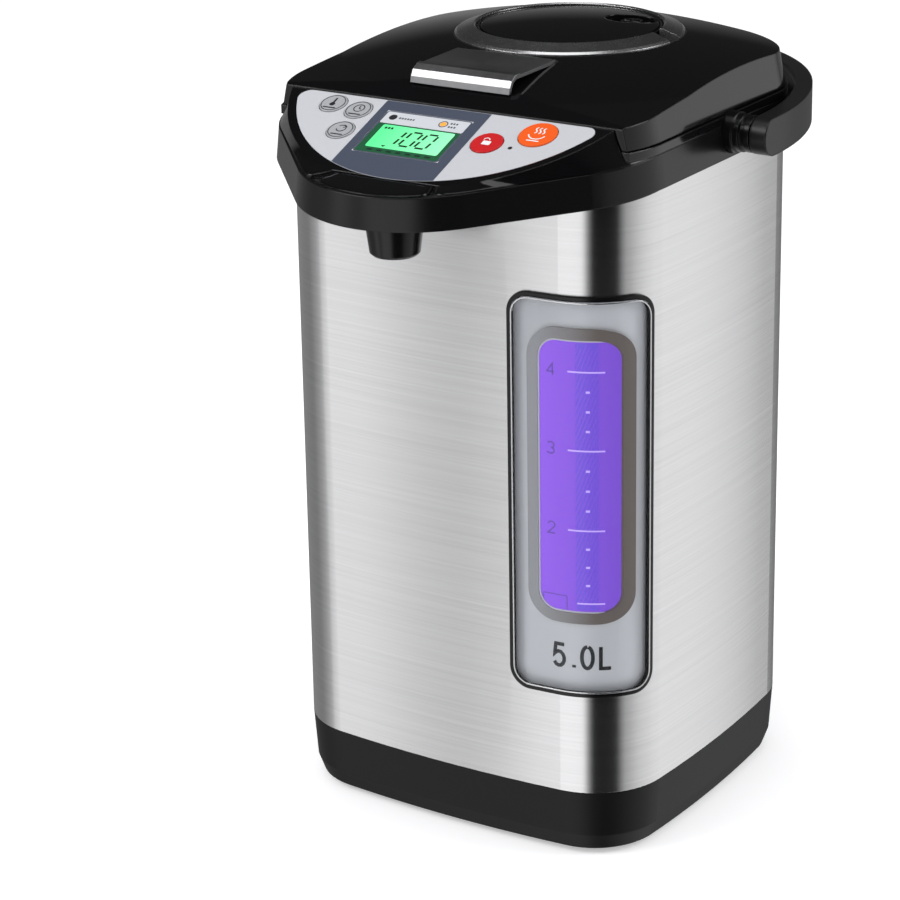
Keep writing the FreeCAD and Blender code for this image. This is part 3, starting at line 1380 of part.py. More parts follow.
os.makedirs("parts", exist_ok=True)
for node in nodes:
    node.Shape.exportStep("parts/%s.step" % node.Label)
print("%d sub-parts" % len(nodes))
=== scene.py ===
import json
import math

import bpy
from bpy.props import FloatProperty, FloatVectorProperty, IntProperty, PointerProperty
from mathutils import Matrix, Vector

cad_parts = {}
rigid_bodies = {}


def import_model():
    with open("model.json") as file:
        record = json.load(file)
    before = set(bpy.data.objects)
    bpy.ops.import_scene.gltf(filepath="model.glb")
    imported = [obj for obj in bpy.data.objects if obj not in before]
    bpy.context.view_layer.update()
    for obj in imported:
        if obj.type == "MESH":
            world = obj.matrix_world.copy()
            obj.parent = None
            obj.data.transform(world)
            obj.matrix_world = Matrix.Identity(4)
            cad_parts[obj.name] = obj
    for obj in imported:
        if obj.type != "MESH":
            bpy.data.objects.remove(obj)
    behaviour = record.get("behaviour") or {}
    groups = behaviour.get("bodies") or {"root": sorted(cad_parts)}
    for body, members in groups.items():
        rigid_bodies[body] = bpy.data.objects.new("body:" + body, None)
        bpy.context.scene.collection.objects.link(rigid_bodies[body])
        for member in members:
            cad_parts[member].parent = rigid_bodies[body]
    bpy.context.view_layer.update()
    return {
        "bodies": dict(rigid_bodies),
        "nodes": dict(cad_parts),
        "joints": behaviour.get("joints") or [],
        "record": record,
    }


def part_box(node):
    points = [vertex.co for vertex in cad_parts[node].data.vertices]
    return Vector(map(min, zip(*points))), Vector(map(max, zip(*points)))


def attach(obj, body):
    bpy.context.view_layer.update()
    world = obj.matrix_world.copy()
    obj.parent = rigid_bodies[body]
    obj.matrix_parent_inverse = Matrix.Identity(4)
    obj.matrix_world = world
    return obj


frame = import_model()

bl_info = {
    "name": "Thermo pot dressing",
    "version": (1, 0, 0),
    "blender": (4, 5, 0),
    "location": "View3D > Sidebar > Thermo pot",
    "description": "Finishes, printed artwork and stage for an electric thermo pot",
    "category": "Object",
}

MM = 0.001
PANEL_TILT = math.radians(21.3)
SKIN_LOW, SKIN_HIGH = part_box("steel_skin")
SHIFT_Y = 500 * (SKIN_LOW[1] + SKIN_HIGH[1])
PANEL_ORIGIN = Vector((0.0, -76.6 + SHIFT_Y, 338.5))
PANEL_ALONG = Vector((0.0, math.cos(PANEL_TILT), math.sin(PANEL_TILT)))
PANEL_NORMAL = Vector((0.0, -math.sin(PANEL_TILT), math.cos(PANEL_TILT)))
LENS_FACE = 1.8
PLATE_FACE = 2.6
WINDOW_RIM_FACE = -1.75
KEY_FACE = 0.5
BODY_HALF_WIDTH, BODY_HALF_DEPTH = 95.0, 89.0
BODY_BOW, BODY_CORNER = 650.0, 36.0
ICON_RING = 5.6
SCALE_MARKS = (("4", 231.5), ("3", 195.5), ("2", 158.4))
SCALE_END = 124.0
STRIP_LEFT, STRIP_RIGHT, STRIP_LOW, STRIP_HIGH = 67.0, 77.4, 121.0, 244.5
RIB_RISE = 26.0
BAND_LEFT, BAND_RIGHT, BAND_LOW, BAND_HIGH, BAND_BACK = -31.0, 22.5, -38.6, -7.4, -0.6
BAND_ARC, BAND_ARC_CENTRE = 83.3, 29.3
FLOOR_REACH = 30.0
FLOOR_LIFT = 0.42


def mesh_object(name, verts, faces, material, body):
    """A mesh from points in millimetres, which rides on a body of the frame."""
    mesh = bpy.data.meshes.new(name)
    mesh.from_pydata([tuple(c * MM for c in v) for v in verts], [], faces)
    mesh.validate()
    mesh.update()
    made = bpy.data.objects.new(name, mesh)
    bpy.context.collection.objects.link(made)
    made.data.materials.append(material)
    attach(made, body)
    return made


def on_panel(x, s, h):
    return Vector((x, 0.0, 0.0)) + PANEL_ORIGIN + PANEL_ALONG * s + PANEL_NORMAL * h


def on_key(x, s, h):
    return on_panel(x, s, KEY_FACE + h)


def corner_centre():
    """Where the body's corner arc is centred so that it is tangent to the bowed front and side."""
    side_x, front_y = BODY_HALF_WIDTH - BODY_BOW, BODY_HALF_DEPTH - BODY_BOW
    reach = BODY_BOW - BODY_CORNER
    x, y = BODY_HALF_WIDTH - BODY_CORNER, BODY_HALF_DEPTH - BODY_CORNER
    for _ in range(20):
        side_error = math.hypot(x - side_x, y) - reach
        front_error = math.hypot(x, y - front_y) - reach
        x -= side_error
        y -= front_error
    return x, y, side_x, front_y


def wall_frame():
    """Points and outward directions along the body's front right corner, at equal small steps."""
    cx, cy, side_x, front_y = corner_centre()
    bow, r = BODY_BOW, BODY_CORNER
    front_end = math.atan2(cx, cy - front_y)
    side_end = math.atan2(cx - side_x, cy)
    track = []
    for i in range(161):
        a = front_end * i / 160
        track.append((bow * math.sin(a), -(front_y + bow * math.cos(a)), a))
    for i in range(1, 81):
        a = front_end + (side_end - front_end) * i / 80
        track.append((cx + r * math.sin(a), -(cy + r * math.cos(a)), a))
    for i in range(1, 161):
        a = side_end + (math.pi / 2 - side_end) * i / 160
        track.append((side_x + bow * math.sin(a), -bow * math.cos(a), a))
    return track


def wall_placer(inset):
    """Maps arc length along the wall at an inset, height and lift to a point."""
    track = wall_frame()
    points = [(x - inset * math.sin(a), y + inset * math.cos(a), a) for x, y, a in track]
    lengths = [0.0]
    for p, q in zip(points, points[1:]):
        lengths.append(lengths[-1] + math.hypot(q[0] - p[0], q[1] - p[1]))

    def place(u, z, h):
        low, high = 0, len(lengths) - 1
        while high - low > 1:
            mid = (low + high) // 2
            if lengths[mid] > u:
                high = mid
            else:
                low = mid
        t = (u - lengths[low]) / (lengths[high] - lengths[low])
        x, y, a = (points[low][k] + t * (points[high][k] - points[low][k]) for k in range(3))
        return Vector((x + h * math.sin(a), y - h * math.cos(a) + SHIFT_Y, z))

    return place


on_lens = wall_placer(LENS_FACE)
on_plate = wall_placer(PLATE_FACE)


class Build:
    """Collects points and faces of thin raised print, mapped by a placer."""

    def __init__(self, place, low=0.02, high=0.08):
        self.place, self.low, self.high = place, low, high
        self.verts, self.faces = [], []

    def quad_strip(self, left, right, closed=False):
        """A raised band between two matching runs of (u, w) points."""
        count = len(left)
        first = len(self.verts)
        for (lu, lw), (ru, rw) in zip(left, right):
            for h in (self.high, self.low):
                self.verts.append(self.place(lu, lw, h))
                self.verts.append(self.place(ru, rw, h))
        for i in range(count if closed else count - 1):
            a, b = first + 4 * i, first + 4 * ((i + 1) % count)
            self.faces += [(a, a + 1, b + 1, b), (a + 2, b + 2, b + 3, a + 3),
                           (a, b, b + 2, a + 2), (a + 1, a + 3, b + 3, b + 1)]
        if not closed:
            a, b = first, first + 4 * (count - 1)
            self.faces += [(a, a + 2, a + 3, a + 1), (b, b + 1, b + 3, b + 2)]

    def fan(self, outline):
        """A raised flat plate inside a closed outline."""
        first, count = len(self.verts), len(outline)
        self.verts += [self.place(u, w, self.high) for u, w in outline]
        self.verts += [self.place(u, w, self.low) for u, w in outline]
        self.faces.append(tuple(range(first, first + count)))
        self.faces.append(tuple(range(first + 2 * count - 1, first + count - 1, -1)))
        for i in range(count):
            j = (i + 1) % count
            self.faces.append((first + i, first + count + i, first + count + j, first + j))

    def patch(self, u0, u1, w0, w1, steps=1):
        left = [(u0 + (u1 - u0) * i / steps, w1) for i in range(steps + 1)]
        right = [(u, w0) for u, _ in left]
        self.quad_strip(left, right)

    def stroke(self, points, width, closed=False):
        """A pen line of one width with mitred corners."""
        count = len(points)
        left, right = [], []
        for i, (u, w) in enumerate(points):
            before = points[i - 1] if i or closed else None
            after = points[(i + 1) % count] if i < count - 1 or closed else None
            ways = []
            if before is not None:
                ways.append(Vector((u - before[0], w - before[1])).normalized())
            if after is not None:
                ways.append(Vector((after[0] - u, after[1] - w)).normalized())
            way = sum(ways, Vector((0.0, 0.0))).normalized()
            side = Vector((-way.y, way.x))
            cosine = max(0.4, abs(way.dot(ways[0])))
            reach = width / 2 / cosine
            left.append((u + side.x * reach, w + side.y * reach))
            right.append((u - side.x * reach, w - side.y * reach))
        self.quad_strip(left, right, closed)

    def circle(self, u, w, radius, steps=28):
        self.fan(circle_points(u, w, radius, steps))

    def ring(self, u, w, radius, width, start=0.0, sweep=360.0, steps=32):
        whole = sweep >= 360.0
        count = steps if whole else steps + 1
        points = []
        for i in range(count):
            a = math.radians(start + sweep * i / steps)
            points.append((u + radius * math.cos(a), w + radius * math.sin(a)))
        self.stroke(points, width, whole)

    def make(self, name, material, slot, body="housing"):
        return mesh_object(name, self.verts, self.faces, material, body)


def circle_points(u, w, radius, steps=28):
    return [(u + radius * math.cos(2 * math.pi * i / steps), w + radius * math.sin(2 * math.pi * i / steps))
            for i in range(steps)]


def rounded_box(u0, w0, u1, w1, radius, steps=6):
    points = []
    for cu, cw, start in ((u1 - radius, w1 - radius, 0), (u0 + radius, w1 - radius, 90),
                          (u0 + radius, w0 + radius, 180), (u1 - radius, w0 + radius, 270)):
        for i in range(steps + 1):
            a = math.radians(start + 90 * i / steps)
            points.append((cu + radius * math.cos(a), cw + radius * math.sin(a)))
    return points


def subdivided(points, step, closed=True):
    """The same line with no run longer than step."""
    out = []
    count = len(points)
    for i in range(count if closed else count - 1):
        (u0, w0), (u1, w1) = points[i], points[(i + 1) % count]
        parts = max(1, int(math.hypot(u1 - u0, w1 - w0) / step))
        out += [(u0 + (u1 - u0) * k / parts, w0 + (w1 - w0) * k / parts) for k in range(parts)]
    if not closed:
        out.append(points[-1])
    return out


SEGMENTS = {"1": "bc", "0": "abcdef", "2": "abged", "3": "abgcd"}


def seven_segment(build, digit, u, w, width, height, thick, lean):
    """One digit of a segment display, with small gaps between its bars."""
    def at(x, y):
        return (u + x + lean * y, w + y)
    g = thick * 0.62
    bars = {
        "a": ((g, height), (width - g, height)), "g": ((g, height / 2), (width - g, height / 2)),
        "d": ((g, 0), (width - g, 0)), "f": ((0, height / 2 + g), (0, height - g)),
        "b": ((width, height / 2 + g), (width, height - g)), "e": ((0, g), (0, height / 2 - g)),
        "c": ((width, g), (width, height / 2 - g)),
    }
    for bar in SEGMENTS[digit]:
        (x0, y0), (x1, y1) = bars[bar]
        build.stroke([at(x0, y0), at(x1, y1)], thick)


def arc_run(cx, cy, rx, ry, start, end, steps=10):
    return [(cx + rx * math.cos(math.radians(start + (end - start) * i / steps)),
             cy + ry * math.sin(math.radians(start + (end - start) * i / steps))) for i in range(steps + 1)]


GLYPHS = {
    "2": [arc_run(0.5, 0.72, 0.42, 0.28, 170, -30) + [(0.08, 0.0), (0.95, 0.0)]],
    "3": [arc_run(0.45, 0.75, 0.4, 0.25, 150, -80), arc_run(0.45, 0.26, 0.44, 0.26, 85, -155)],
    "4": [[(0.72, 0.0), (0.72, 1.0), (0.05, 0.3), (0.98, 0.3)]],
    "5": [[(0.88, 1.0), (0.22, 1.0), (0.12, 0.52)] + arc_run(0.46, 0.33, 0.42, 0.33, 120, -150)],
    "0": [arc_run(0.5, 0.5, 0.4, 0.5, 90, 440, 20)],
    "L": [[(0.14, 1.0), (0.14, 0.0), (0.88, 0.0)]],
    ".": [[(0.3, 0.0), (0.3, 0.12)]],
}


def write(build, text, u, w, height, width, thick, gap):
    for letter in text:
        for run in GLYPHS[letter]:
            points = [(u + x * width, w + y * height) for x, y in run]
            build.stroke(subdivided(points, 1.2, False), thick)
        u += (width * 0.45 if letter == "." else width) + gap


class Shade:
    """A node material being built."""

    def __init__(self, name):
        self.material = bpy.data.materials.new(name)
        self.material.use_nodes = True
        self.tree = self.material.node_tree
        self.tree.nodes.clear()
        self.out = self.tree.nodes.new("ShaderNodeOutputMaterial")

    def node(self, kind, **values):
        made = self.tree.nodes.new("ShaderNode" + kind)
        for key, value in values.items():
            if key in made.inputs:
                made.inputs[key].default_value = value
            else:
                setattr(made, key, value)
        return made

    def link(self, source, target):
        self.tree.links.new(source, target)

    def coords(self, scale):
        where = self.node("TexCoord")
        stretch = self.node("Mapping")
        stretch.inputs["Scale"].default_value = scale
        self.link(where.outputs["Object"], stretch.inputs["Vector"])
        return stretch.outputs["Vector"]

    def noise(self, scale, stretch=(1, 1, 1), detail=3.0):
        made = self.node("TexNoise", Scale=scale, Detail=detail)
        self.link(self.coords(stretch), made.inputs["Vector"])
        return made.outputs["Fac"]

    def spread(self, source, low, high):
        made = self.node("MapRange")
        made.inputs["To Min"].default_value = low
        made.inputs["To Max"].default_value = high
        self.link(source, made.inputs["Value"])
        return made.outputs["Result"]

    def bump(self, height, strength, distance, normal=None):
        made = self.node("Bump", Strength=strength, Distance=distance)
        self.link(height, made.inputs["Height"])
        if normal:
            self.link(normal, made.inputs["Normal"])
        return made.outputs["Normal"]

    def tint(self, source, dark, light):
        ramp = self.node("ValToRGB")
        ramp.color_ramp.elements[0].color = (*dark, 1)
        ramp.color_ramp.elements[1].color = (*light, 1)
        self.link(source, ramp.inputs["Fac"])
        return ramp.outputs["Color"]

    def finish(self, shader):
        self.link(shader, self.out.inputs["Surface"])
        return self.material


def plastic(name, colour, rough, edge=0.0006, grain=0.0, coat=0.0, sheen_scale=900.0, specular=0.5):
    shade = Shade(name)
    body = shade.node("BsdfPrincipled")
    body.inputs["Coat Weight"].default_value = coat
    body.inputs["Coat Roughness"].default_value = 0.05
    body.inputs["Specular IOR Level"].default_value = specular
    fine = shade.noise(sheen_scale)
    dark = tuple(c * 0.92 for c in colour)
    shade.link(shade.tint(fine, dark, colour), body.inputs["Base Color"])
    shade.link(shade.spread(fine, rough * 0.92, rough * 1.08), body.inputs["Roughness"])
    rounded = shade.node("Bevel", Radius=edge)
    rounded.samples = 6
    normal = rounded.outputs["Normal"]
    if grain:
        normal = shade.bump(fine, grain, 0.0002, normal)
    shade.link(normal, body.inputs["Normal"])
    return shade.finish(body.outputs["BSDF"])


def brushed(name, colour, rough, stretch, strength=0.12, anisotropic=0.6, turn=0.25, edge=0.0003):
    """Metal with fine brush lines along the stretched direction and a soft streaked highlight."""
    shade = Shade(name)
    body = shade.node("BsdfPrincipled")
    body.inputs["Metallic"].default_value = 1.0
    body.inputs["Anisotropic"].default_value = anisotropic
    body.inputs["Anisotropic Rotation"].default_value = turn
    fine = shade.noise(1.0, stretch, 5.0)
    broad = shade.noise(1.0, tuple(s * 0.22 for s in stretch), 4.0)
    both = shade.node("Math", operation="MULTIPLY_ADD")
    shade.link(fine, both.inputs[0])
    both.inputs[1].default_value = 0.6
    scaled = shade.node("Math", operation="MULTIPLY")
    shade.link(broad, scaled.inputs[0])
    scaled.inputs[1].default_value = 0.4
    shade.link(scaled.outputs[0], both.inputs[2])
    level = both.outputs[0]
    dark = tuple(c * 0.8 for c in colour)
    light = tuple(min(1.0, c * 1.12) for c in colour)
    shade.link(shade.tint(level, dark, light), body.inputs["Base Color"])
    shade.link(shade.spread(level, rough * 0.85, rough * 1.2), body.inputs["Roughness"])
    tangent = shade.node("Tangent", direction_type="RADIAL", axis="Z")
    shade.link(tangent.outputs["Tangent"], body.inputs["Tangent"])
    rounded = shade.node("Bevel", Radius=edge)
    rounded.samples = 4
    shade.link(shade.bump(level, strength, 0.0001, rounded.outputs["Normal"]), body.inputs["Normal"])
    return shade.finish(body.outputs["BSDF"])


def clear(name, tint, gloss=0.045, rough=0.03, body_share=0.012):
    """Thin clear plastic: what is behind it shows, with a soft reflection on top."""
    shade = Shade(name)
    through = shade.node("BsdfTransparent", Color=(*tint, 1))
    shine = shade.node("BsdfGlossy", Roughness=rough)
    milk = shade.node("BsdfDiffuse", Color=(0.8, 0.82, 0.85, 1))
    haze = shade.node("MixShader", Fac=body_share)
    shade.link(through.outputs[0], haze.inputs[1])
    shade.link(milk.outputs[0], haze.inputs[2])
    facing = shade.node("LayerWeight", Blend=gloss * 3)
    wave = shade.noise(30.0)
    shade.link(shade.bump(wave, 0.02, 0.0003), facing.inputs["Normal"])
    mixed = shade.node("MixShader")
    shade.link(facing.outputs["Fresnel"], mixed.inputs["Fac"])
    shade.link(haze.outputs[0], mixed.inputs[1])
    shade.link(shine.outputs[0], mixed.inputs[2])
    return shade.finish(mixed.outputs[0])


def glow(name, near, far, strength, axis_scale=(1, 0, 0), low=0.0, high=1.0, rough=0.25):
    """A surface that emits its own colour, which runs from near to far across the given direction; on the window,
    frame, scale and display this glow and run are painted light and painted shade, and only on the amber lamp is
    the glow a real lamp.
    """
    shade = Shade(name)
    where = shade.node("TexCoord")
    split = shade.node("VectorMath", operation="DOT_PRODUCT")
    shade.link(where.outputs["Object"], split.inputs[0])
    split.inputs[1].default_value = axis_scale
    run = shade.node("MapRange")
    run.inputs["From Min"].default_value = low
    run.inputs["From Max"].default_value = high
    shade.link(split.outputs["Value"], run.inputs["Value"])
    colour = shade.tint(run.outputs["Result"], near, far)
    body = shade.node("BsdfPrincipled", Roughness=rough)
    body.inputs["Emission Strength"].default_value = strength
    shade.link(colour, body.inputs["Emission Color"])
    base = shade.node("MixRGB", blend_type="MULTIPLY", Fac=1.0)
    shade.link(colour, base.inputs["Color1"])
    base.inputs["Color2"].default_value = (0.35, 0.35, 0.35, 1)
    shade.link(base.outputs["Color"], body.inputs["Base Color"])
    return shade.finish(body.outputs["BSDF"])


def make_materials():
    steel = (0.78, 0.78, 0.79)
    return {
        "black_matte": plastic("black_matte", (0.006, 0.006, 0.0065), 0.40, 0.0008, 0.02, specular=0.22),
        "black_gloss": plastic("black_gloss", (0.004, 0.004, 0.0045), 0.09, 0.0009, 0.0, 0.15, specular=0.4),
        "black_satin": plastic("black_satin", (0.005, 0.005, 0.0055), 0.22, 0.0009, 0.0, specular=0.35),
        "handle_black": plastic("handle_black", (0.009, 0.009, 0.010), 0.34, 0.0012, 0.02, specular=0.4),
        "steel": brushed("steel", steel, 0.24, (9, 9, 1500), 0.10, 0.85),
        "steel_plain": brushed("steel_plain", (0.66, 0.66, 0.66), 0.3, (60, 60, 500), 0.06, 0.3),
        "rubber_black": plastic("rubber_black", (0.02, 0.02, 0.02), 0.8, 0.0004, 0.05),
        "silicone": plastic("silicone", (0.75, 0.75, 0.73), 0.45, 0.0003),
        "window_clear": clear("window_clear", (0.97, 0.98, 0.99)),
        # Painted light: the violet window lens and the taupe frame emit light though they are no lamps; the lens
        # darkens across the window as painted shade, and the frame runs from a painted light grey to its own
        # taupe.
        "lens_violet": glow("lens_violet", (0.34, 0.12, 0.92), (0.20, 0.07, 0.68), 0.72,
                            (1, 0.4, 0), 0.012, 0.060, 0.6),
        "frame_taupe": glow("frame_taupe", (0.72, 0.72, 0.74), (0.33, 0.27, 0.23), 0.16,
                            (1, 0.6, 0), 0.0, 0.030, 0.5),
        "white_plastic": plastic("white_plastic", (0.80, 0.80, 0.81), 0.35, 0.0005),
        "tube_clear": clear("tube_clear", (0.9, 0.93, 0.97)),
        "overlay_silver": plastic("overlay_silver", (0.56, 0.57, 0.60), 0.35, 0.0003, 0.0, specular=0.4),
        "display_grey": plastic("display_grey", (0.085, 0.10, 0.14), 0.22, 0.0003),
        "display_dark": plastic("display_dark", (0.05, 0.06, 0.055), 0.5, 0.0003),
        "key_grey": plastic("key_grey", (0.40, 0.41, 0.43), 0.35, 0.0005, 0.0, 0.2),
        "key_red": plastic("key_red", (0.58, 0.012, 0.015), 0.35, 0.0005, 0.0, 0.05, specular=0.3),
        "key_orange": plastic("key_orange", (0.88, 0.11, 0.008), 0.35, 0.0005, 0.0, 0.05, specular=0.3),
        "ring_silver": brushed("ring_silver", (0.62, 0.62, 0.63), 0.26, (300, 300, 900), 0.05, 0.2),
        "latch_metal": brushed("latch_metal", (0.42, 0.42, 0.43), 0.3, (2500, 30, 30), 0.1, 0.3, 0.0),
        "aluminium": brushed("aluminium", (0.7, 0.7, 0.7), 0.45, (200, 200, 200), 0.1, 0.0),
        "board_green": plastic("board_green", (0.02, 0.10, 0.04), 0.5, 0.0002),
        "brass": brushed("brass", (0.75, 0.55, 0.22), 0.3, (400, 400, 400), 0.05, 0.0),
        "ivory_plastic": plastic("ivory_plastic", (0.62, 0.58, 0.50), 0.5, 0.0004),
        "slate_print": plastic("slate_print", (0.065, 0.078, 0.115), 0.5, 0.0001, specular=0.25),
        "ink_dark": plastic("ink_dark", (0.02, 0.02, 0.025), 0.5, 0.0001),
        "ink_white": plastic("ink_white", (0.85, 0.85, 0.86), 0.45, 0.0001),
        "header_print": plastic("header_print", (0.62, 0.64, 0.68), 0.4, 0.0001),
        "frame_green": plastic("frame_green", (0.015, 0.11, 0.045), 0.35, 0.0001),
        # Painted light: the mint display emits light and grows lighter towards its right end as a painted
        # highlight.
        "lcd_mint": glow("lcd_mint", (0.10, 0.86, 0.30), (0.30, 1.0, 0.50), 0.85, (1, 0, 0), -0.02, 0.015, 0.6),
        "lcd_ink": plastic("lcd_ink", (0.01, 0.03, 0.02), 0.4, 0.0001),
        "amber": glow("amber", (1.0, 0.42, 0.06), (1.0, 0.5, 0.1), 0.8),
        "violet_ink": plastic("violet_ink", (0.20, 0.10, 0.62), 0.5, 0.0001),
        # Painted light: the scale strip and the ticks emit light though they are no lamps, and the strip darkens
        # slightly across the window as painted shade.
        "violet_deep": glow("violet_deep", (0.19, 0.09, 0.80), (0.15, 0.08, 0.70), 0.72,
                            (1, 0.4, 0), 0.02, 0.06, 0.4),
        "violet_pale": glow("violet_pale", (0.62, 0.45, 0.98), (0.5, 0.35, 0.9), 0.8),
        "bright_line": brushed("bright_line", (0.85, 0.85, 0.86), 0.2, (400, 400, 400), 0.02, 0.0),
    }


NODE_FINISH = {"handle": "handle_black"}


class PotArtSettings(bpy.types.PropertyGroup):
    line_width: FloatProperty(
        name="Print line", description="Width of the fine printed lines in millimetres", default=0.45, min=0.1)
    rib_count: IntProperty(name="Ribs", description="Slanted ribs beside the level scale", default=34, min=2)
    digit_height: FloatProperty(
        name="Digit height", description="Height of the display's digits in millimetres", default=10.4, min=2.0)


class PotStageSettings(bpy.types.PropertyGroup):
    lens: FloatProperty(name="Lens", description="Focal length in millimetres", default=121.5, min=10.0)
    azimuth: FloatProperty(
        name="Azimuth", description="Camera's turn from the front towards the right", default=math.radians(33.104),
        subtype="ANGLE")
    elevation: FloatProperty(
        name="Elevation", description="Camera's height above the horizon", default=math.radians(19.073),
        subtype="ANGLE")
    roll: FloatProperty(name="Roll", description="Camera's roll", default=math.radians(-1.006), subtype="ANGLE")
    distance: FloatProperty(
        name="Distance", description="Camera to target", default=1.449, unit="LENGTH", subtype="DISTANCE")
    target: FloatVectorProperty(
        name="Target", description="Point that the camera looks at", default=(-0.0517, SHIFT_Y * MM, 0.1752),
        unit="LENGTH", subtype="TRANSLATION")
    shift_y: FloatProperty(name="Shift", description="Vertical shift of the camera", default=-0.06)


FINISHES = {}


class POT_OT_finish_nodes(bpy.types.Operator):
    """Gives each carried-over solid its finish"""

    bl_idname = "pot.finish_nodes"
    bl_label = "Finish the solids"

    def execute(self, context):
        nodes = frame["nodes"]
        slots = {s["node"]: s["material_slot"] for s in frame["record"]["subparts"]}
        for name, node in nodes.items():
            material = FINISHES[NODE_FINISH.get(name, slots[name])]
            node.data.materials.clear()
            node.data.materials.append(material)
        return {"FINISHED"}


class POT_OT_panel_print(bpy.types.Operator):
    """Prints the slate band, the display and its digits on the control panel"""

    bl_idname = "pot.panel_print"
    bl_label = "Print the panel"

    def execute(self, context):
        art = context.scene.pot_art
        band = Build(on_panel, 0.01, 0.05)
        left, right, back = BAND_LEFT, BAND_RIGHT, BAND_BACK
        low, high = BAND_LOW, BAND_HIGH
        band.patch(left, right, high, back)
        band.patch(left, -26.5, low, high)
        band.patch(17.5, right, low, high)
        steps = 24
        top, bottom = [], []
        for i in range(steps + 1):
            x = left + (right - left) * i / steps
            top.append((x, low))
            bottom.append((x, BAND_ARC_CENTRE - math.sqrt((BAND_ARC - 0.15) ** 2 - x * x)))
        band.quad_strip(top, bottom)
        band.make("slate_band", FINISHES["slate_print"], "display_grey")

        header = Build(on_panel, 0.01, 0.05)
        header.fan(rounded_box(-25.6, -16.6, 16.6, -8.2, 0.8))
        header.make("display_header", FINISHES["header_print"], "overlay_silver")
        frame = Build(on_panel, 0.01, 0.05)
        frame.fan(rounded_box(-25.6, -37.8, 16.2, -16.8, 0.8))
        frame.make("display_frame", FINISHES["frame_green"], "display_dark")
        # The mint display's glow and its lighter right end are painted light.
        mint = Build(on_panel, 0.05, 0.10)
        mint.fan(rounded_box(-22.4, -34.2, 14.2, -17.6, 1.0))
        mint.make("display_glow", FINISHES["lcd_mint"], "display_dark")

        digits = Build(on_panel, 0.10, 0.14)
        tall = art.digit_height
        for digit, x in (("1", -15.6), ("0", -7.4), ("0", 0.6)):
            seven_segment(digits, digit, x, -31.0, 5.6, tall, 1.15, 0.16)
        digits.fan([(-13.8, -33.4), (-12.6, -32.2), (-15.0, -32.2)])
        for x in (-20.6, -19.0, -17.4):
            digits.patch(x, x + 1.1, -20.6, -19.2)
        for i in range(7):
            x = -20.0 + 4.9 * i
            digits.patch(x, x + 2.6, -36.6, -35.6)
        digits.make("display_digits", FINISHES["lcd_ink"], "display_dark")

        lamps = Build(on_panel, 0.05, 0.12)
        lamps.circle(-21.2, -12.0, 1.9)
        lamps.make("lamp_dark", FINISHES["ink_dark"], "display_dark")
        marks = Build(on_panel, 0.05, 0.09)
        for x, w, s in ((-18.0, 8.6, -12.0), (7.8, 5.4, -10.9), (7.8, 5.0, -13.4)):
            for i in range(int(w / 1.4)):
                marks.patch(x + 1.4 * i, x + 1.4 * i + 0.8, s - 0.55, s + 0.55)
        marks.ring(4.6, -12.0, 2.0, art.line_width)
        marks.circle(43.6, -21.7, 1.0)
        marks.make("panel_marks", FINISHES["ink_dark"], "display_dark")
        amber = Build(on_panel, 0.05, 0.10)
        amber.circle(4.6, -12.0, 1.5)
        amber.make("lamp_amber", FINISHES["amber"], "key_orange")
        return {"FINISHED"}


class POT_OT_key_icons(bpy.types.Operator):
    """Prints the keys' icons"""

    bl_idname = "pot.key_icons"
    bl_label = "Print the keys' icons"

    def execute(self, context):
        width = context.scene.pot_art.line_width
        place = on_key
        thermo = Build(place)
        x, s = -55.0, -8.2
        thermo.circle(x, s - 0.9, 1.3)
        thermo.stroke([(x, s - 0.8), (x, s + 3.6)], 0.9)
        thermo.ring(x, s, ICON_RING, width * 0.8)
        thermo.stroke([(x - 3.2, s - 3.6), (x + 3.2, s - 3.6)], 0.7)
        thermo.make("icon_temperature", FINISHES["ink_dark"], "display_dark", "key_temperature")
        timer = Build(place)
        x, s = -40.4, -10.4
        timer.ring(x, s + 0.9, 2.5, width)
        timer.stroke([(x, s + 0.9), (x, s + 2.6)], width)
        timer.stroke([(x, s + 0.9), (x + 1.2, s + 0.2)], width)
        timer.ring(x, s, ICON_RING, width * 0.8)
        timer.stroke([(x - 3.0, s - 3.6), (x + 3.0, s - 3.6)], 0.7)
        timer.make("icon_timer", FINISHES["ink_dark"], "display_dark", "key_timer")
        boil = Build(place)
        x, s = -40.0, -26.0
        boil.ring(x, s + 0.8, 2.2, width, 200, 300)
        boil.stroke([(x + 0.4, s + 3.4), (x + 1.9, s + 2.4), (x + 0.6, s + 1.4)], width)
        boil.ring(x, s, ICON_RING, width * 0.8)
        boil.stroke([(x - 3.0, s - 3.6), (x + 3.0, s - 3.6)], 0.7)
        boil.make("icon_reboil", FINISHES["ink_dark"], "display_dark", "key_reboil")
        lock = Build(place)
        x, s = 31.6, -20.7
        lock.fan(rounded_box(x - 2.0, s - 1.8, x + 2.0, s + 1.0, 0.4))
        lock.ring(x - 0.9, s + 1.6, 1.4, width, 0, 180, 14)
        lock.make("icon_unlock", FINISHES["ink_white"], "white_plastic", "key_unlock")
        cup = Build(place)
        x, s = 51.0, -10.4
        for k in (-1, 0, 1):
            wave = [(x + 1.9 * k + 0.6 * math.sin(1.9 * i / 3), s + 0.4 + 0.42 * i) for i in range(11)]
            cup.stroke(wave, 0.6)
        cup.ring(x, s + 0.6, 4.2, 0.6, 200, 140, 20)
        cup.stroke([(x - 3.0, s - 4.9), (x + 3.0, s - 4.9)], 0.7)
        cup.make("icon_dispense", FINISHES["ink_white"], "white_plastic", "key_dispense")
        return {"FINISHED"}


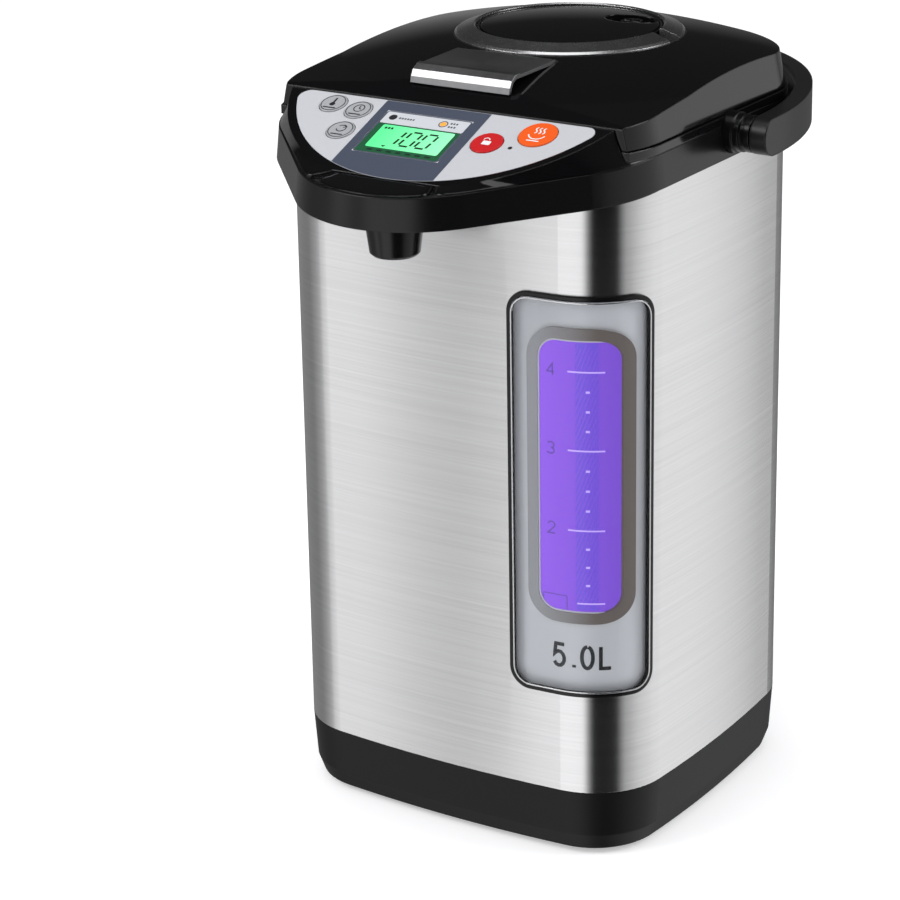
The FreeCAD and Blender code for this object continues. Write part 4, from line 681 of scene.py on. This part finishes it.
class POT_OT_level_scale(bpy.types.Operator):
    """Draws the scale behind the window, whose glow is painted light: ribs, ticks, digits, the low mark and the
    capacity
    """

    bl_idname = "pot.level_scale"
    bl_label = "Draw the level scale"

    def execute(self, context):
        art = context.scene.pot_art
        left, right, low, high = STRIP_LEFT, STRIP_RIGHT, STRIP_LOW, STRIP_HIGH
        # The strip, the ribs and the ticks take painted glow: they emit light though they are no lamps, and the
        # strip and ribs darken across the window as painted shade.
        strip = Build(on_lens, 0.01, 0.04)
        strip.patch(left, right, low, high, 10)
        strip.make("scale_strip", FINISHES["violet_deep"], "lens_violet")
        ribs = Build(on_lens, 0.04, 0.12)
        rise = RIB_RISE
        for i in range(art.rib_count):
            start = low - rise + (high - low + rise) * i / art.rib_count
            run = []
            for k in range(9):
                u, z = left + (right - left) * k / 8, start + rise * k / 8
                if low <= z <= high:
                    run.append((u, z))
            if len(run) > 1:
                ribs.stroke(run, 0.55)
        ribs.make("scale_ribs", FINISHES["lens_violet"], "lens_violet")
        ticks = Build(on_lens, 0.12, 0.18)
        heights = [z for _, z in SCALE_MARKS] + [SCALE_END]
        for z in heights:
            ticks.patch(63.6 if z > SCALE_END else 67.6, 80.0, z - 0.35, z + 0.35, 10)
        for top, bottom in zip(heights, heights[1:]):
            for k in (1, 2, 3):
                z = top + (bottom - top) * k / 4
                ticks.patch(71.6, 73.4, z - 0.5, z + 0.5, 2)
        ticks.make("scale_ticks", FINISHES["violet_pale"], "lens_violet")
        numbers = Build(on_lens, 0.04, 0.10)
        for text, z in SCALE_MARKS:
            write(numbers, text, 53.6, z - 2.6, 5.4, 4.0, 0.6, 1.0)
        numbers.stroke(subdivided(rounded_box(51.4, 120.0, 63.0, 127.0, 0.6, 2), 2.0), 0.4, True)
        numbers.make("scale_numbers", FINISHES["violet_ink"], "lens_violet")
        capacity = Build(on_plate, 0.02, 0.12)
        write(capacity, "5.0L", 55.6, 92.6, 10.4, 6.2, 1.7, 2.0)
        capacity.make("capacity_mark", FINISHES["ink_dark"], "display_dark")
        rim = Build(on_lens, 0.05, 0.5)
        edge = subdivided(rounded_box(49.9, 119.9, 88.6, 245.6, 8.6, 8), 2.5)
        rim.stroke(edge, 0.7, True)
        rim.make("gauge_rim_line", FINISHES["ink_white"], "white_plastic")
        return {"FINISHED"}


class POT_OT_trim(bpy.types.Operator):
    """Adds the bright line round the window and the grille in the steam opening"""

    bl_idname = "pot.trim"
    bl_label = "Add the trim"

    def execute(self, context):
        edge = Build(wall_placer(WINDOW_RIM_FACE), 0.0, 0.25)
        outline = subdivided(rounded_box(38.6, 82.6, 103.6, 263.4, 8.0, 8), 3.0)
        edge.stroke(outline, 0.5, True)
        edge.make("window_edge_line", FINISHES["bright_line"], "steel_plain")
        grille = Build(lambda x, y, h: Vector((22.0 + x, 44.0 + SHIFT_Y + y, 355.2 + h)), 0.0, 1.0)
        grille.ring(0, 0, 4.6, 0.9)
        grille.stroke([(-4.4, 0), (4.4, 0)], 0.8)
        grille.stroke([(0, -4.4), (0, 4.4)], 0.8)
        grille.make("vent_grille", FINISHES["black_satin"], "black_satin", "lid")
        return {"FINISHED"}


class POT_OT_stage(bpy.types.Operator):
    """Sets the floor, the lights, the surroundings and the camera"""

    bl_idname = "pot.stage"
    bl_label = "Set the stage"

    def execute(self, context):
        context.scene.view_settings.view_transform = "Standard"
        make_floor()
        make_lights()
        make_world()
        make_camera(context.scene.pot_stage)
        return {"FINISHED"}


def make_floor():
    mesh = bpy.data.meshes.new("floor")
    far = FLOOR_REACH
    mesh.from_pydata([(-far, -far, 0), (far, -far, 0), (far, far, 0), (-far, far, 0)], [], [(0, 1, 2, 3)])
    floor = bpy.data.objects.new("floor", mesh)
    bpy.context.collection.objects.link(floor)
    shade = Shade("floor_white")
    matte = shade.node("BsdfDiffuse")
    matte.inputs["Color"].default_value = (0.80, 0.80, 0.81, 1)
    path = shade.node("LightPath")
    level = shade.node("Math", operation="MULTIPLY")
    shade.link(path.outputs["Is Camera Ray"], level.inputs[0])
    level.inputs[1].default_value = FLOOR_LIFT
    lit = shade.node("Emission")
    shade.link(level.outputs[0], lit.inputs["Strength"])
    both = shade.node("AddShader")
    shade.link(matte.outputs[0], both.inputs[0])
    shade.link(lit.outputs[0], both.inputs[1])
    mesh.materials.append(shade.finish(both.outputs[0]))
    floor.visible_glossy = False


def area(name, azimuth, elevation, distance, size, power, aim=(0, 0, 0.2)):
    light = bpy.data.lights.new(name, "AREA")
    light.shape = "RECTANGLE"
    light.size, light.size_y = size
    light.energy = power
    made = bpy.data.objects.new(name, light)
    bpy.context.collection.objects.link(made)
    a, e = math.radians(azimuth), math.radians(elevation)
    way = Vector((math.sin(a) * math.cos(e), -math.cos(a) * math.cos(e), math.sin(e)))
    made.location = Vector(aim) + way * distance
    made.rotation_mode = "QUATERNION"
    made.rotation_quaternion = (-way).to_track_quat("-Z", "Y")
    return made


def make_lights():
    area("light_front_left", -42, 38, 1.9, (1.1, 1.0), 15)
    area("light_right", 118, 32, 2.0, (0.9, 1.1), 13)
    area("light_top", 10, 82, 1.8, (1.3, 0.9), 7)


WORLD_LEVELS = (
    (-180, 0.20), (-120, 0.25), (-84, 0.22), (-62, 0.45), (-50, 1.05), (-42, 0.98), (-36, 0.66), (-29, 0.55),
    (-24, 0.98), (-18, 1.22), (14, 1.18), (22, 0.30), (28, 0.01), (64, 0.01), (76, 0.45), (98, 0.72), (128, 0.88),
    (146, 1.02), (156, 0.80), (166, 0.25),
)


def make_world():
    """White for the camera, and bright and dark uprights round the pot for its reflections."""
    world = bpy.data.worlds.new("surroundings")
    bpy.context.scene.world = world
    world.use_nodes = True
    tree = world.node_tree
    tree.nodes.clear()
    make = tree.nodes.new
    where = make("ShaderNodeTexCoord")
    split = make("ShaderNodeSeparateXYZ")
    tree.links.new(where.outputs["Generated"], split.inputs[0])
    flip = make("ShaderNodeMath")
    flip.operation = "MULTIPLY"
    flip.inputs[1].default_value = -1.0
    tree.links.new(split.outputs["Y"], flip.inputs[0])
    angle = make("ShaderNodeMath")
    angle.operation = "ARCTAN2"
    tree.links.new(split.outputs["X"], angle.inputs[0])
    tree.links.new(flip.outputs[0], angle.inputs[1])
    share = make("ShaderNodeMapRange")
    share.inputs["From Min"].default_value = -math.pi
    share.inputs["From Max"].default_value = math.pi
    tree.links.new(angle.outputs[0], share.inputs["Value"])
    ramp = make("ShaderNodeValToRGB")
    stops = ramp.color_ramp.elements
    stops.remove(stops[1])
    for i, (degrees, level) in enumerate(WORLD_LEVELS):
        stop = stops[0] if i == 0 else stops.new((degrees + 180) / 360)
        stop.position = (degrees + 180) / 360
        stop.color = (level, level, level, 1)
    tree.links.new(share.outputs["Result"], ramp.inputs["Fac"])
    seen = make("ShaderNodeBackground")
    seen.inputs["Color"].default_value = (1, 1, 1, 1)
    soft = make("ShaderNodeBackground")
    soft.inputs["Color"].default_value = (0.62, 0.62, 0.63, 1)
    shine = make("ShaderNodeBackground")
    height = make("ShaderNodeMapRange")
    height.inputs["From Min"].default_value = -0.02
    height.inputs["From Max"].default_value = 0.22
    height.inputs["To Min"].default_value = 1.0
    height.inputs["To Max"].default_value = 0.10
    tree.links.new(split.outputs["Z"], height.inputs["Value"])
    tree.links.new(height.outputs["Result"], shine.inputs["Strength"])
    tree.links.new(ramp.outputs["Color"], shine.inputs["Color"])
    path = make("ShaderNodeLightPath")
    inner = make("ShaderNodeMixShader")
    tree.links.new(path.outputs["Is Glossy Ray"], inner.inputs["Fac"])
    tree.links.new(soft.outputs[0], inner.inputs[1])
    tree.links.new(shine.outputs[0], inner.inputs[2])
    outer = make("ShaderNodeMixShader")
    tree.links.new(path.outputs["Is Camera Ray"], outer.inputs["Fac"])
    tree.links.new(inner.outputs[0], outer.inputs[1])
    tree.links.new(seen.outputs[0], outer.inputs[2])
    out = make("ShaderNodeOutputWorld")
    tree.links.new(outer.outputs[0], out.inputs["Surface"])


def make_camera(settings):
    camera = bpy.data.cameras.new("camera")
    camera.lens = settings.lens
    camera.shift_y = settings.shift_y
    camera.clip_end = 100.0
    made = bpy.data.objects.new("camera", camera)
    bpy.context.collection.objects.link(made)
    bpy.context.scene.camera = made
    a, e, roll = settings.azimuth, settings.elevation, settings.roll
    back = Vector((math.sin(a) * math.cos(e), -math.cos(a) * math.cos(e), math.sin(e)))
    right = Vector((math.cos(a), math.sin(a), 0.0))
    up = back.cross(right)
    tilted = right * math.cos(roll) + up * math.sin(roll)
    upright = up * math.cos(roll) - right * math.sin(roll)
    turn = Matrix((tilted, upright, back)).transposed()
    made.matrix_world = Matrix.Translation(Vector(settings.target) + back * settings.distance) @ turn.to_4x4()


class POT_PT_panel(bpy.types.Panel):
    bl_label = "Thermo pot"
    bl_space_type = "VIEW_3D"
    bl_region_type = "UI"
    bl_category = "Thermo pot"

    def draw(self, context):
        layout = self.layout
        for group in (context.scene.pot_art, context.scene.pot_stage):
            for key in group.__annotations__:
                layout.prop(group, key)
        for step in STEPS:
            layout.operator(step.bl_idname)


STEPS = (POT_OT_finish_nodes, POT_OT_panel_print, POT_OT_key_icons, POT_OT_level_scale, POT_OT_trim, POT_OT_stage)
CLASSES = (PotArtSettings, PotStageSettings, *STEPS, POT_PT_panel)


def register():
    for kind in CLASSES:
        bpy.utils.register_class(kind)
    bpy.types.Scene.pot_art = PointerProperty(type=PotArtSettings)
    bpy.types.Scene.pot_stage = PointerProperty(type=PotStageSettings)


def unregister():
    del bpy.types.Scene.pot_stage
    del bpy.types.Scene.pot_art
    for kind in reversed(CLASSES):
        bpy.utils.unregister_class(kind)


def run(step):
    space, name = step.bl_idname.split(".")
    getattr(getattr(bpy.ops, space), name)()


def main():
    register()
    FINISHES.update(make_materials())
    for step in STEPS:
        run(step)


if __name__ == "__main__":
    main()
